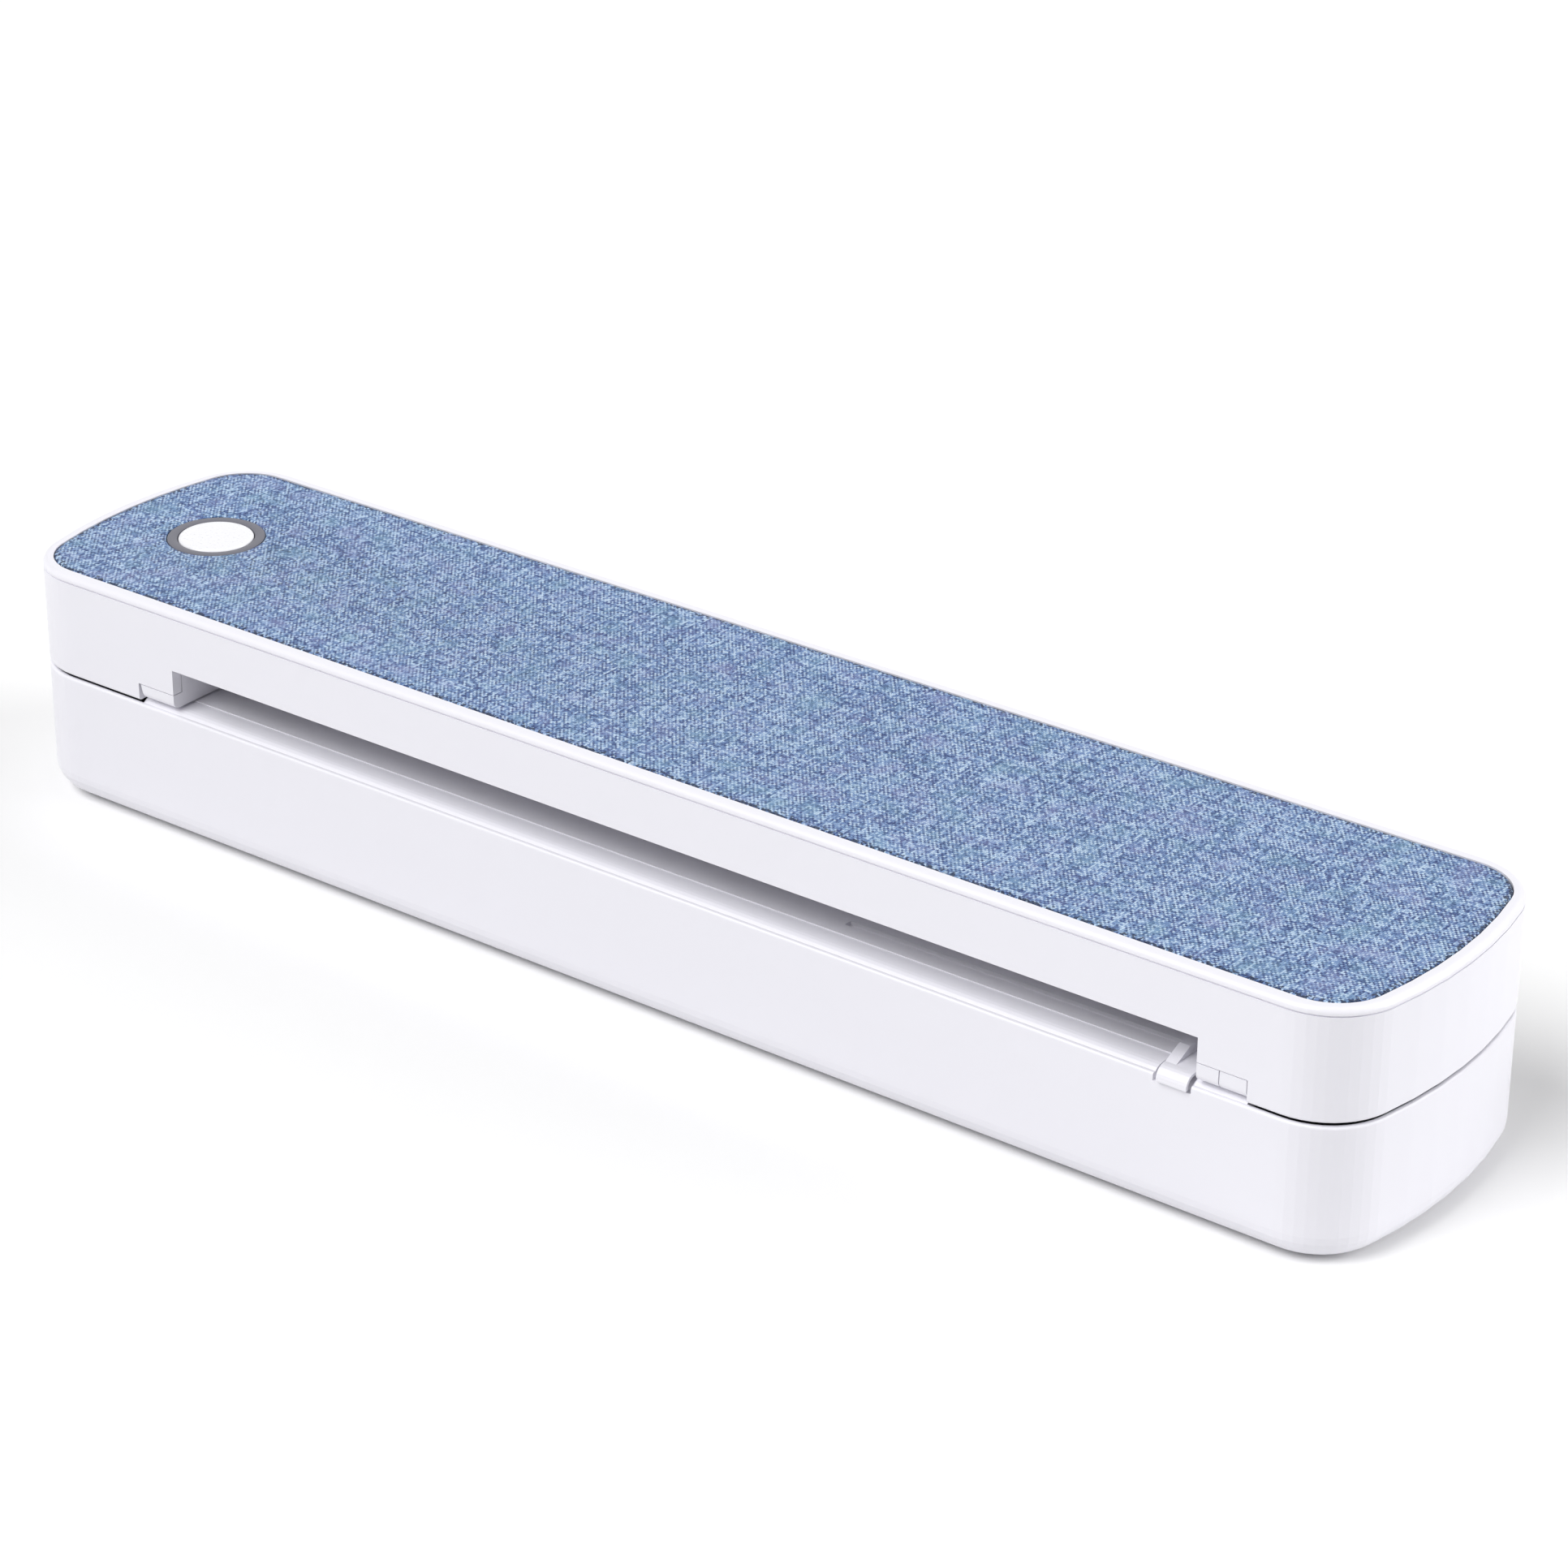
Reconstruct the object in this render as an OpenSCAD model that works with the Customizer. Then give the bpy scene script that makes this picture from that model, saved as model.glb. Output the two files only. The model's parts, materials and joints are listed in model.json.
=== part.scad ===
// Portable thermal printer for A4 and Letter paper: a slim case and a hinged cover with a
// fabric top. X runs along the body, the paper leaves at the front (-Y) and Z is up.
// The origin is on the plane that the feet rest on, under the middle of the body.

/* [Body] */
// Length of the body
body_l = 300; // [290:1:312]
// Depth of the body from front to back
body_w = 62.5; // [61:0.5:66]
// Height from the soles of the feet to the top of the fabric
body_h = 48.1; // [47:0.1:54]
// Height of the line where the cover meets the case
split_z = 27; // [26.6:0.1:28.4]
// Gap between the closed cover and the case
lid_gap = 0.7; // [0.4:0.1:0.8]
// Radius of the body's four upright corners
corner_r = 13.6; // [12:0.2:14]
// How far each end bows out between its corners
end_bow = 2; // [1:0.1:3]
// Wall thickness of the case and the cover
wall = 2.2; // [1.8:0.1:2.4]
// Radius of the round edge under the case
case_round = 5.2; // [4:0.2:6]
// Radius of the edges above and below the split line
split_round = 0.5; // [0.3:0.1:0.6]
// Thickness of the case's wall at its top edge
edge_w = 0.8; // [0.8:0.1:1.2]
// Height of that thinner edge
edge_h = 1.2; // [0.8:0.1:1.6]

/* [Top] */
// Height of the white rim round the fabric
rim_h = 1.3; // [1.2:0.05:2.2]
// Radius of the rim's outer top edge
rim_round = 1.1; // [0.8:0.1:1.8]
// Width of the rim, from the body's side to the fabric
rim_w = 2.46; // [2.2:0.02:3]
// Radius of the fabric panel's corners
panel_r = 10.4; // [9.5:0.1:11]
// Thickness of the fabric with its foam backing
fabric_t = 0.8; // [0.6:0.1:1]
// Height of the groove under the rim
groove_h = 0.3; // [0.2:0.05:0.4]
// Depth of the groove under the rim
groove_d = 0.3; // [0.2:0.05:0.6]

/* [Paper path] */
// Narrowest paper that the width guide closes to
paper_min = 148; // [140:1:160]
// Side play of the paper between its guides
paper_play = 2.3; // [1.6:0.1:3]
// Length of the drive bay, from the body's left end to the paper path
drive_bay = 42.8; // [42.6:0.1:44]
// Length of the cable bay, from the paper path to the body's right end
cable_bay = 38.9; // [38.6:0.1:42]
// Height of the exit slot above the split line
slot_h = 9; // [7:0.5:9.5]
// Length of the exit slot to the right of the paper path
slot_extra = 7.6; // [7.2:0.1:9]
// Height of the feed slot at the back above the split line
feed_h = 6; // [5:0.5:7]
// Height of the case's lip above the split line
lip_h = 0.4; // [0.3:0.1:0.6]
// Radius of the lip's front edge
lip_r = 2.6; // [1.4:0.1:2.8]
// Depth of the shelf behind the lip
shelf_w = 5.95; // [5:0.1:7]
// Thickness of the deck and of the shelf
deck_t = 2.2; // [1.8:0.1:2.4]
// Height of the deck above the shelf
deck_step = 0.2; // [0.1:0.05:0.4]

/* [Cover noses] */
// Width of the left notch in the cover's lower edge
left_notch_w = 9; // [8.4:0.1:10]
// Height of the left notch above the split line
left_notch_h = 3.9; // [3:0.1:5]
// Width of the right notch
right_notch_w = 9.3; // [8.6:0.1:10]
// Height of the right notch above the split line
right_notch_h = 4.5; // [3:0.1:5]
// Depth of the frame's nose blocks
nose_w = 12.2; // [11:0.2:14]
// Height of a nose's foot above the split line
nose_lift = 0.95; // [0.8:0.05:1.2]
// Radius of a nose's lower front edge
nose_round = 1.4; // [0.8:0.1:1.6]
// Gap between the cover and the left nose's side
nose_gap = 0.6; // [0.3:0.1:0.8]
// How far the left nose narrows towards its foot
nose_draft = 0.7; // [0.2:0.1:1]

/* [Width guide] */
// Width of the sliding paper guide
guide_w = 5.8; // [4:0.1:6]
// Thickness of the guide's plate and hook
guide_t = 0.6; // [0.5:0.05:0.8]
// Depth of the guide's plate behind the body's front
guide_d = 12.5; // [12:0.1:16]
// How far the guide's hook reaches below the shelf's top
guide_drop = 1.6; // [1.6:0.1:3]
// Radius of the guide's front edge
guide_round = 2.2; // [1.6:0.1:2.2]
// Height of the guide's fence
fence_h = 2.3; // [1.4:0.1:4]
// Width of the guide's fence
fence_w = 2.1; // [1.2:0.1:3]
// Length of the ramp at the fence's front
fence_ramp = 4; // [0.8:0.1:5]
// Gap round the guide in its parking seat
seat_gap = 0.5; // [0.3:0.1:0.6]
// Depth of the parking seat
seat_d = 0.8; // [0.3:0.1:0.8]
// Width of the groove that the guide runs in
guide_groove_w = 1.6; // [1.2:0.1:2]
// Depth of that groove
guide_groove_d = 0.8; // [0.6:0.1:1]

/* [Roller] */
// Radius of the rubber platen
platen_r = 6; // [5.6:0.1:6.4]
// Radius of the platen's steel shaft
shaft_r = 3; // [2.6:0.1:3.2]
// Place of the platen's axis behind the body's middle
platen_y = 1; // [0:0.5:2]
// How far the platen stands above the deck
platen_proud = 0.4; // [0.3:0.1:0.6]
// Outer radius of the shaft's bushings
bush_r = 4.6; // [4.2:0.1:5]
// Length of a bushing
bush_l = 3.2; // [2.8:0.1:4]

/* [Drive] */
// Module of the gears: pitch diameter over number of teeth
gear_m = 0.5; // [0.48:0.01:0.51]
// Teeth of the platen's gear
platen_teeth = 28; // [28:1:28]
// Teeth of the small wheel of the double gear
small_teeth = 14; // [14:1:14]
// Teeth of the large wheel of the double gear
large_teeth = 36; // [36:1:36]
// Teeth of the motor's pinion
pinion_teeth = 12; // [12:1:12]
// Face width of the platen's gear
gear_w = 4.6; // [4:0.1:5]
// Face width of the large wheel
large_w = 3.4; // [3:0.1:3.6]
// Radius of the double gear's axle
axle_r = 1.5; // [1.2:0.1:1.6]
// Direction from the platen to the double gear, from +Y towards +Z
double_a = -37; // [-42:1:-34]
// Direction from the double gear to the motor
motor_a = 190; // [188:1:196]
// Radius of the motor's can
motor_r = 10; // [9:0.2:10.2]
// Length of the motor's can
motor_l = 14; // [12:0.5:14]
// Radius of the motor's shaft
motor_shaft_r = 1; // [0.8:0.1:1.2]
// Distance from the motor's axis to each of its screws
motor_ear = 13; // [12.6:0.2:14]
// Direction from the motor's axis to its back screw
ear_a = -20; // [-24:1:-16]

/* [Print head] */
// Air between the head's heater line and the platen
nip = 0.3; // [0.3:0.05:0.4]
// Thickness of the ceramic strip
ceramic_t = 1; // [0.8:0.1:1.2]
// Depth of the ceramic strip
ceramic_w = 9; // [8:0.5:9.5]
// Thickness of the heat sink's base
sink_t = 4; // [3.5:0.1:4.5]
// Depth of the heat sink
sink_w = 17; // [16:0.5:17.5]
// Height of the heat sink's fins
fin_h = 3.2; // [2:0.2:4]
// Distance from the platen's axis back to the head's pivot
pivot_back = 16; // [16:0.5:17]
// Radius of the rod that the head swings on
rod_r = 1.25; // [1:0.05:1.4]
// Outer radius of a head spring
spring_r = 2.6; // [2.2:0.1:3]
// Radius of a head spring's wire
wire_r = 0.3; // [0.25:0.05:0.35]
// Thickness of the cover frame's web
web_t = 1.9; // [1.6:0.1:2.2]
// Thickness of the cover frame's cheeks
cheek_t = 3; // [2.4:0.1:3.2]

/* [Power button] */
// Radius of the button
button_r = 7.25; // [6.8:0.05:7.8]
// Outer radius of the light ring
ring_r = 9.4; // [9:0.05:9.4]
// Distance from the body's left end to the button's centre
button_in = 25.2; // [25:0.1:26]
// Travel of the button
button_travel = 0.6; // [0.4:0.1:0.7]
// Thickness of the circuit boards
board_t = 1.6; // [1.2:0.1:1.6]
// Side of the switch's square body
switch_w = 6; // [5:0.1:6.4]
// Height of the switch's body
switch_h = 3.5; // [3:0.1:4]

/* [Hinge] */
// Distance of the hinge's axis from the body's back
hinge_in = 2.25; // [2.2:0.05:2.5]
// Radius of the hinge's knuckles
knuckle_r = 2.2; // [2:0.05:2.2]
// Length of one knuckle
knuckle_l = 4.2; // [3.8:0.1:4.3]
// Radius of the hinge pin
pin_r = 1; // [0.8:0.05:1.1]

/* [Power and control] */
// Radius of a battery cell
cell_r = 9.2; // [9:0.1:9.4]
// Length of a battery cell
cell_l = 65; // [60:0.5:65]
// Distance from the main board to the right side frame
main_clear = 8; // [7.8:0.2:12]
// Depth of the main board
main_w = 46; // [40:1:46]
// Height of the main board's posts
main_post = 2; // [1.6:0.2:3]
// Width of the charging socket
usb_w = 8.9; // [8.6:0.1:9.4]
// Height of the charging socket
usb_h = 3.2; // [3:0.1:3.6]
// Distance from the main board's right edge to the charging socket
usb_in = 24; // [19:1:30]

/* [Feet and screws] */
// How far the feet stand out under the case
foot_h = 0.8; // [0.6:0.1:1.2]
// Radius of a foot
foot_r = 5; // [4:0.2:5.4]
// Depth of the recess that holds a foot
foot_seat = 0.6; // [0.4:0.1:0.8]
// Radius of the screws' shanks
screw_r = 1.1; // [1:0.05:1.2]
// Radius of the screws' heads
head_r = 2.1; // [1.9:0.05:2.3]
// Height of the screws' heads
head_h = 1.3; // [1:0.1:1.4]
// Thickness of the sheet-metal frames
sheet_t = 2; // [1.6:0.1:2]

/* [Clearances] */
// Clearance of a running fit, on the radius
run = 0.06; // [0.05:0.01:0.08]
// Clearance of fixed pieces that drop into each other
fit = 0.15; // [0.1:0.01:0.2]
// Clearance of moving pieces that pass each other
pass = 0.35; // [0.3:0.01:0.4]

/* [Hidden] */
$fn = 64;

white = [0.93, 0.93, 0.95];
steel = [0.72, 0.73, 0.75];
black = [0.12, 0.12, 0.13];

// how far a cut runs past the surface that it opens
over = 1;
// overlap that joins two shapes of one piece
join = 0.01;
// steps of the outline's corners and bowed ends, and of its round edges
corner_steps = 10;
bow_steps = 6;
edge_step = 15;

front_y = -body_w / 2;
back_y = body_w / 2;
case_bottom = foot_h;
floor_z = foot_h + wall;
case_top = split_z - lid_gap / 2;
cover_bottom = split_z + lid_gap / 2;
rim_z = body_h - rim_h;
shell_top = rim_z - groove_h;
ceiling_z = shell_top - wall;
rim_edge = min(rim_round, rim_h - 0.1);

// the paper path, the slots and the notches beside the exit slot
path_left = -body_l / 2 + drive_bay;
path_right = body_l / 2 - cable_bay;
slot_right = path_right + slot_extra;
slot_top = split_z + slot_h;
notch_left = path_left - left_notch_w;
notch_gap = 0.3;
notch_right = slot_right + notch_gap + right_notch_w;
feed_left = path_left - 1.8;
feed_right = slot_right - 1.6;
lip_z = split_z + lip_h;
shelf_back = front_y + shelf_w;
deck_z = lip_z + deck_step;
deck_bottom = deck_z - deck_t;
deck_left = path_left - 1.6;
deck_right = slot_right + 1.1;
deck_back = back_y - 5.2;
guide_x = path_right + 0.5;

// the platen and the drive, whose axes run along X
platen_z = deck_z + platen_proud - platen_r;
platen_left = path_left + 0.7;
platen_right = path_right + 0.9;
left_frame_x = path_left - 3.8;
right_frame_x = slot_right + 1.3;
gear_x = left_frame_x - 10.4;
large_x = gear_x - 1 - large_w;
bracket_x = large_x - 1.8 - sheet_t;
double_c = (platen_teeth + small_teeth) * gear_m / 2;
double_y = platen_y + double_c * cos(double_a);
double_z = platen_z + double_c * sin(double_a);
motor_c = (large_teeth + pinion_teeth) * gear_m / 2;
motor_y = double_y + motor_c * cos(motor_a);
motor_z = double_z + motor_c * sin(motor_a);

// the print head, which hangs in the cover
head_z = deck_z + platen_proud + nip;
sink_z = head_z + ceramic_t;
sink_front = platen_y - 4;
sink_top = sink_z + sink_t;
sink_left = path_left + 3.2;
sink_right = path_right + 2.5;
pivot_y = platen_y + pivot_back;
pivot_z = sink_top - 0.4;
web_top = ceiling_z - 0.2;
web_z = web_top - web_t;
left_cheek_x = sink_left - 1.5 - cheek_t;
right_cheek_x = sink_right + 1.5;
cheek_front = platen_y - 9;
cheek_back = pivot_y + 3.2;
cheek_z = split_z + 2.6;
spring_y = platen_y + 2;
spring_xs = [sink_left + 30, (sink_left + sink_right) / 2, sink_right - 30];

// the button and what is under it
button_x = -body_l / 2 + button_in;
ring_flange_z = ceiling_z - 1;
button_flange_z = ring_flange_z + 0.5;
plunger_top = button_flange_z - 0.25;
switch_top = plunger_top - button_travel - 0.3;
button_board_z = switch_top - switch_h - board_t;
button_post = 12.8;
plunger_r = 1.7;

// the hinge, in line with the split
hinge_y = back_y - hinge_in;
hinge_z = split_z;
knuckle_gap = 0.3;
hinge_l = 3 * knuckle_l + 2 * knuckle_gap;
hinge_left_x = feed_left - 1.6 - hinge_l;
hinge_right_x = feed_right + 1.6;
sweep_r = sqrt(pow(hinge_in, 2) + pow(2, 2)) + 0.2;

// battery, board and posts inside the case
post_r = 3.2;
post_h = 5;
post_gap = 0.4;
left_post_x = path_left + 3.7;
tray_t = 1.2;
tray_left = left_post_x + post_r + post_gap;
cell_y = front_y + wall + cell_r + 2.55;
cell_z = floor_z + tray_t + cell_r + 0.1;
cell_gap = 0.5;
cell_left = tray_left + tray_t + 0.2;
tray_right = cell_left + 2 * cell_l + cell_gap + 0.2 + tray_t;
post_xs = [left_post_x, tray_right + post_gap + post_r, slot_right - 2.2];
post_ys = [front_y + 9, back_y - 7.75];
case_screw_l = 9;
main_x = post_xs[1] + post_r + 2 * post_gap;
main_l = right_frame_x - main_clear - main_x;
main_back = back_y - 4.85;
main_front = main_back - main_w;
main_z = floor_z + main_post;
board_top = main_z + board_t;
usb_x = main_x + main_l - usb_in;
usb_l = 7.4;

// the latch: a steel stud under each nose, gripped by a sprung clip
stud_r = 1.5;
stud_y = front_y + 8.75;
stud_xs = [path_left - left_notch_w / 2, notch_right - right_notch_w / 2];
stud_low = split_z - 7.5;
clip_t = 0.5;
clip_in = stud_r + 0.3;
clip_l = 4;

foot_x = body_l / 2 - 26;
foot_y = body_w / 2 - 13.25;

// place of the hole in the right frame that the head's cable passes
cable_y = 8;
cable_z = 8.8;

// routes of the leads inside the case and of the cable to the print head
motor_lead_r = 1;
motor_route = [
  [-137, 7.9, 13], [-137, 12, 12.4], [-136, 18, 9.8], [-132, 24, 7.6], [-125, 27.5, 7],
  [-112, 27.9, 7], [-60, 27.9, 7], [-20, 27.9, 7], [22, 27.8, 7], [29.5, 25.5, 7],
  [33, 20, 7.5], [36.5, 15.6, 8.4], [42.4, 14.4, 8.6]
];
battery_lead_r = 1;
battery_route = [
  [33.5, -14, 12], [36.5, -13.6, 12], [39.5, -10.4, 10.4], [42, -7, 9], [43.4, -6, 8.6],
  [44.9, -6, 8.6]
];
head_cable_r = 1.3;
head_route = [
  [98, 18.4, 30.4], [98, 20, 30.4], [98.6, 21.4, 32], [101.5, 21.9, 34.2], [107, 22, 35],
  [118, 22, 35], [128, 21.9, 34.5], [134, 21.6, 32.4], [136.6, 21, 28.4], [137, 18.5, 21.5],
  [136, 13.5, 14.5], [132, 9.5, 9.8], [126, 8, 8.8], [118, 8, 8.8], [111, 8, 8.8]
];

// ---- outlines ----

function arc(cx, cy, r, a0, a1, n) =
  [for (i = [0:n]) let (a = a0 + (a1 - a0) * i / n) [cx + r * cos(a), cy + r * sin(a)]];

// the body's outline drawn in by inset, with corners of radius r and bowed ends
function half_outline(inset, r) =
  let (
    cy = body_w / 2 - inset - r,
    bow_c = (cy * cy + end_bow * end_bow) / (2 * end_bow),
    a = asin(cy / bow_c),
    cx = body_l / 2 - inset - r - end_bow,
    bow_x = body_l / 2 - inset - r - bow_c,
    bow = arc(bow_x, 0, bow_c + r, -a, a, bow_steps)
  )
  concat(
    arc(cx, -cy, r, -90, -a, corner_steps),
    [for (i = [1:bow_steps - 1]) bow[i]],
    arc(cx, cy, r, a, 90, corner_steps)
  );

function outline(inset, r) =
  let (half = half_outline(inset, r)) concat(half, [for (p = half) -p]);

module slab(inset, z0, z1) {
  translate([0, 0, z0])
    linear_extrude(z1 - z0)
      polygon(outline(inset, corner_r - inset));
}

module panel_slab(inset, z0, z1) {
  translate([0, 0, z0])
    linear_extrude(z1 - z0)
      polygon(outline(rim_w + inset, panel_r - inset));
}

// a solid skinned over outlines that are drawn in by levels[i][0] at height levels[i][1]
module loft(levels) {
  count = len(outline(0, corner_r));
  last = len(levels) - 1;
  points = [
    for (q = levels, p = outline(q[0], corner_r - q[0])) [p.x, p.y, q[1]]
  ];
  sides = [
    for (i = [0:last - 1], k = [0:count - 1], half = [0, 1])
      let (
        next = (k + 1) % count,
        a = i * count + k,
        b = i * count + next,
        c = (i + 1) * count + next,
        d = (i + 1) * count + k
      )
      half == 0 ? [a, c, b] : [a, d, c]
  ];
  ends = [
    for (k = [1:count - 2], end = [0, 1])
      end == 0 ? [0, k, k + 1] : [last * count, last * count + k + 1, last * count + k]
  ];
  polyhedron(points = points, faces = concat(sides, ends));
}

// levels of a round lower edge and of a round upper edge, for loft
function low_edge(inset, z0, r, step) =
  [for (a = [0:step:90]) [inset + r * (1 - sin(a)), z0 + r * (1 - cos(a))]];
function high_edge(z1, r, step) =
  [for (a = [0:step:90]) [r * (1 - cos(a)), z1 - r * (1 - sin(a))]];

// a slab with a round lower edge
module tub(inset, z0, z1, r) {
  loft(concat(low_edge(inset, z0, r, edge_step), [[inset, z1]]));
}

// ---- helpers ----

module along_x(x0, x1) {
  translate([x0, 0, 0])
    rotate([90, 0, 90])
      linear_extrude(x1 - x0)
        children();
}

module rod_x(x0, x1, y, z, r) {
  translate([x0, y, z])
    rotate([0, 90, 0])
      cylinder(h = x1 - x0, r = r);
}

module box(x0, x1, y0, y1, z0, z1) {
  translate([x0, y0, z0])
    cube([x1 - x0, y1 - y0, z1 - z0]);
}

module post(x, y, z0, z1, r) {
  translate([x, y, z0])
    cylinder(h = z1 - z0, r = r);
}

function unit(v) = v / norm(v);

// a point on the smooth curve through the points p, where t counts them
function along(p, t) =
  let (
    n = len(p) - 1,
    i = min(floor(t), n - 1),
    u = t - i,
    a = p[max(i - 1, 0)],
    b = p[i],
    c = p[i + 1],
    d = p[min(i + 2, n)]
  )
  (2 * b + (c - a) * u + (2 * a - 5 * b + 4 * c - d) * u * u
    + (3 * b - a - 3 * c + d) * u * u * u) / 2;

function smooth(p, steps) = [for (i = [0:steps * (len(p) - 1)]) along(p, i / steps)];

// a round tube of so many sides along the points p
module tube(p, r, sides) {
  last = len(p) - 1;
  ways = [for (i = [0:last]) unit(p[min(i + 1, last)] - p[max(i - 1, 0)])];
  first = unit(cross(ways[0], abs(ways[0].z) < 0.9 ? [0, 0, 1] : [1, 0, 0]));
  sideways = [
    for (i = 0, n = first; i <= last;
      i = i + 1, n = i <= last ? unit(n - (n * ways[i]) * ways[i]) : n) n
  ];
  rings = [
    for (i = [0:last], k = [0:sides - 1])
      let (a = 360 * k / sides)
        p[i] + r * (cos(a) * sideways[i] + sin(a) * cross(ways[i], sideways[i]))
  ];
  wall_faces = [
    for (i = [0:last - 1], k = [0:sides - 1], half = [0, 1])
      let (
        next = (k + 1) % sides,
        a = i * sides + k,
        b = i * sides + next,
        c = (i + 1) * sides + next,
        d = (i + 1) * sides + k
      )
      half == 0 ? [a, c, b] : [a, d, c]
  ];
  caps = [
    for (k = [1:sides - 2], end = [0, 1])
      end == 0 ? [0, k, k + 1] : [last * sides, last * sides + k + 1, last * sides + k]
  ];
  polyhedron(points = rings, faces = concat(wall_faces, caps));
}

// ---- gears ----

// outline of an involute gear with a tooth on its +X side
pressure_a = 20;
flank_steps = 3;
backlash = 0.14;
function involute_a(pitch, base) = base >= pitch ? 0 :
  (sqrt(pitch * pitch / (base * base) - 1) * 180 / PI - acos(base / pitch));
function gear_points(teeth) =
  let (
    pitch = teeth * gear_m / 2,
    base = pitch * cos(pressure_a),
    tip = pitch + 0.9 * gear_m,
    root = pitch - 1.2 * gear_m,
    low = max(base, root + 0.05),
    half_a = 90 / teeth - backlash / pitch * 45 / PI + involute_a(pitch, base),
    flank = [
      for (i = [0:flank_steps])
        let (r = low + (tip - low) * i / flank_steps) [r, half_a - involute_a(r, base)]
    ],
    half_root = half_a + 0.01
  )
  [
    for (k = [0:teeth - 1])
      let (a = 360 * k / teeth)
        for (q = concat(
          [[root, -half_root]],
          [for (f = flank) [f[0], -f[1]]],
          [for (i = [flank_steps:-1:0]) flank[i]],
          [[root, half_root]]))
          [q[0] * cos(a + q[1]), q[0] * sin(a + q[1])]
  ];

module gear(teeth, x0, x1, y, z, turn) {
  translate([0, y, z])
    along_x(x0, x1)
      rotate(turn)
        polygon(gear_points(teeth));
}

// ---- case and what is fixed in it ----

module lip_profile() {
  low = case_top - 3;
  polygon(concat(
    [[front_y, low]],
    [for (p = arc(front_y + lip_r, lip_z - lip_r, lip_r, 180, 90, 6)) p],
    [
      [shelf_back, lip_z],
      [shelf_back, lip_z - deck_t],
      [front_y + wall, lip_z - deck_t],
      [front_y + wall, low]
    ]));
}

// the barrel of one knuckle, with its web to the wall below or above it
module knuckle(x0, up) {
  rod_x(x0, x0 + knuckle_l, hinge_y, hinge_z, knuckle_r);
  if (up) {
    box(x0, x0 + knuckle_l, hinge_y - knuckle_r, hinge_y + hinge_in - 0.65,
      hinge_z, hinge_z + knuckle_r);
    box(x0, x0 + knuckle_l, hinge_y - knuckle_r, back_y - wall / 2,
      hinge_z + 2, hinge_z + 7);
  } else {
    box(x0, x0 + knuckle_l, hinge_y - knuckle_r, back_y - edge_w + join,
      hinge_z - 6, hinge_z);
  }
}

function knuckle_x(hinge_x, i) = hinge_x + i * (knuckle_l + knuckle_gap);

module case_knuckles(hinge_x) {
  for (i = [0, 2])
    knuckle(knuckle_x(hinge_x, i), false);
}

// a bead on the case's back edge, which fills the relief under the cover's edge
module rear_bead(x0, x1) {
  intersection() {
    rod_x(x0, x1, hinge_y, hinge_z, sweep_r - pass);
    slab(0.2, case_top - edge_h - join, hinge_z + sweep_r);
  }
}

// the skin that is taken off the lip where the width guide parks
module guide_seat() {
  low = lip_z - guide_drop - seat_gap;
  along_x(guide_x - 2 * seat_gap, guide_x + guide_w + seat_gap)
    difference() {
      translate([front_y - over, low])
        square([over + shelf_w - 1.5, lip_z + over - low]);
      polygon(concat(
        [[front_y + seat_d, low - over]],
        arc(front_y + lip_r, lip_z - lip_r, lip_r - seat_d, 180, 90, 6),
        [[shelf_back, lip_z - seat_d], [shelf_back, low - over]]));
    }
}

module case() {
  color(white)
    difference() {
      union() {
        difference() {
          loft(concat(
            low_edge(0, case_bottom, case_round, edge_step),
            high_edge(case_top, split_round, 2 * edge_step)));
          tub(wall, floor_z, case_top + over, case_round - wall);
          // the wall is thinner along the split
          slab(edge_w, case_top - edge_h, case_top + over);
        }
        along_x(notch_left + notch_gap, notch_right - notch_gap) lip_profile();
        case_knuckles(hinge_left_x);
        case_knuckles(hinge_right_x);
        rear_bead(-body_l / 2, hinge_left_x - knuckle_gap);
        rear_bead(hinge_right_x + hinge_l + knuckle_gap, body_l / 2);
        for (x = post_xs, y = post_ys)
          post(x, y, floor_z - over / 2, floor_z + post_h, post_r);
        for (x = main_holes_x(), y = main_holes_y())
          post(x, y, floor_z - over / 2, main_z, head_r + 0.5);
      }
      for (hinge_x = [hinge_left_x, hinge_right_x]) {
        rod_x(knuckle_x(hinge_x, 1) - knuckle_gap, knuckle_x(hinge_x, 2),
          hinge_y, hinge_z, sweep_r);
        rod_x(hinge_x + 0.8, hinge_x + hinge_l + over, hinge_y, hinge_z, pin_r);
      }
      for (x = post_xs, y = post_ys) {
        post(x, y, case_bottom - over, floor_z + post_h - 2, head_r + 0.3);
        post(x, y, floor_z, floor_z + post_h + over, screw_r + 0.3);
      }
      for (x = main_holes_x(), y = main_holes_y())
        post(x, y, floor_z - 1, main_z + over, screw_r);
      for (x = [-foot_x, foot_x], y = [-foot_y, foot_y])
        post(x, y, case_bottom - over, case_bottom + foot_seat, foot_r + fit);
      for (p = frame_holes())
        post(p.x, p.y, floor_z - wall / 2 - 0.1, floor_z + over, screw_r);
      guide_seat();
      // the charging socket's mouth and the finger recess round it
      box(usb_x - usb_w / 2 - 0.3, usb_x + usb_w / 2 + 0.3, back_y - wall - over, back_y + over,
        board_top - 0.3, board_top + usb_h + 0.3);
      box(usb_x - usb_w / 2 - 1.6, usb_x + usb_w / 2 + 1.6, back_y - 0.6, back_y + over,
        board_top - 1.4, board_top + usb_h + 1.4);
    }
}

function main_holes_x() = [main_x + 4, main_x + main_l - 4];
function main_holes_y() = [main_front + 4, main_back - 4];

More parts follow.
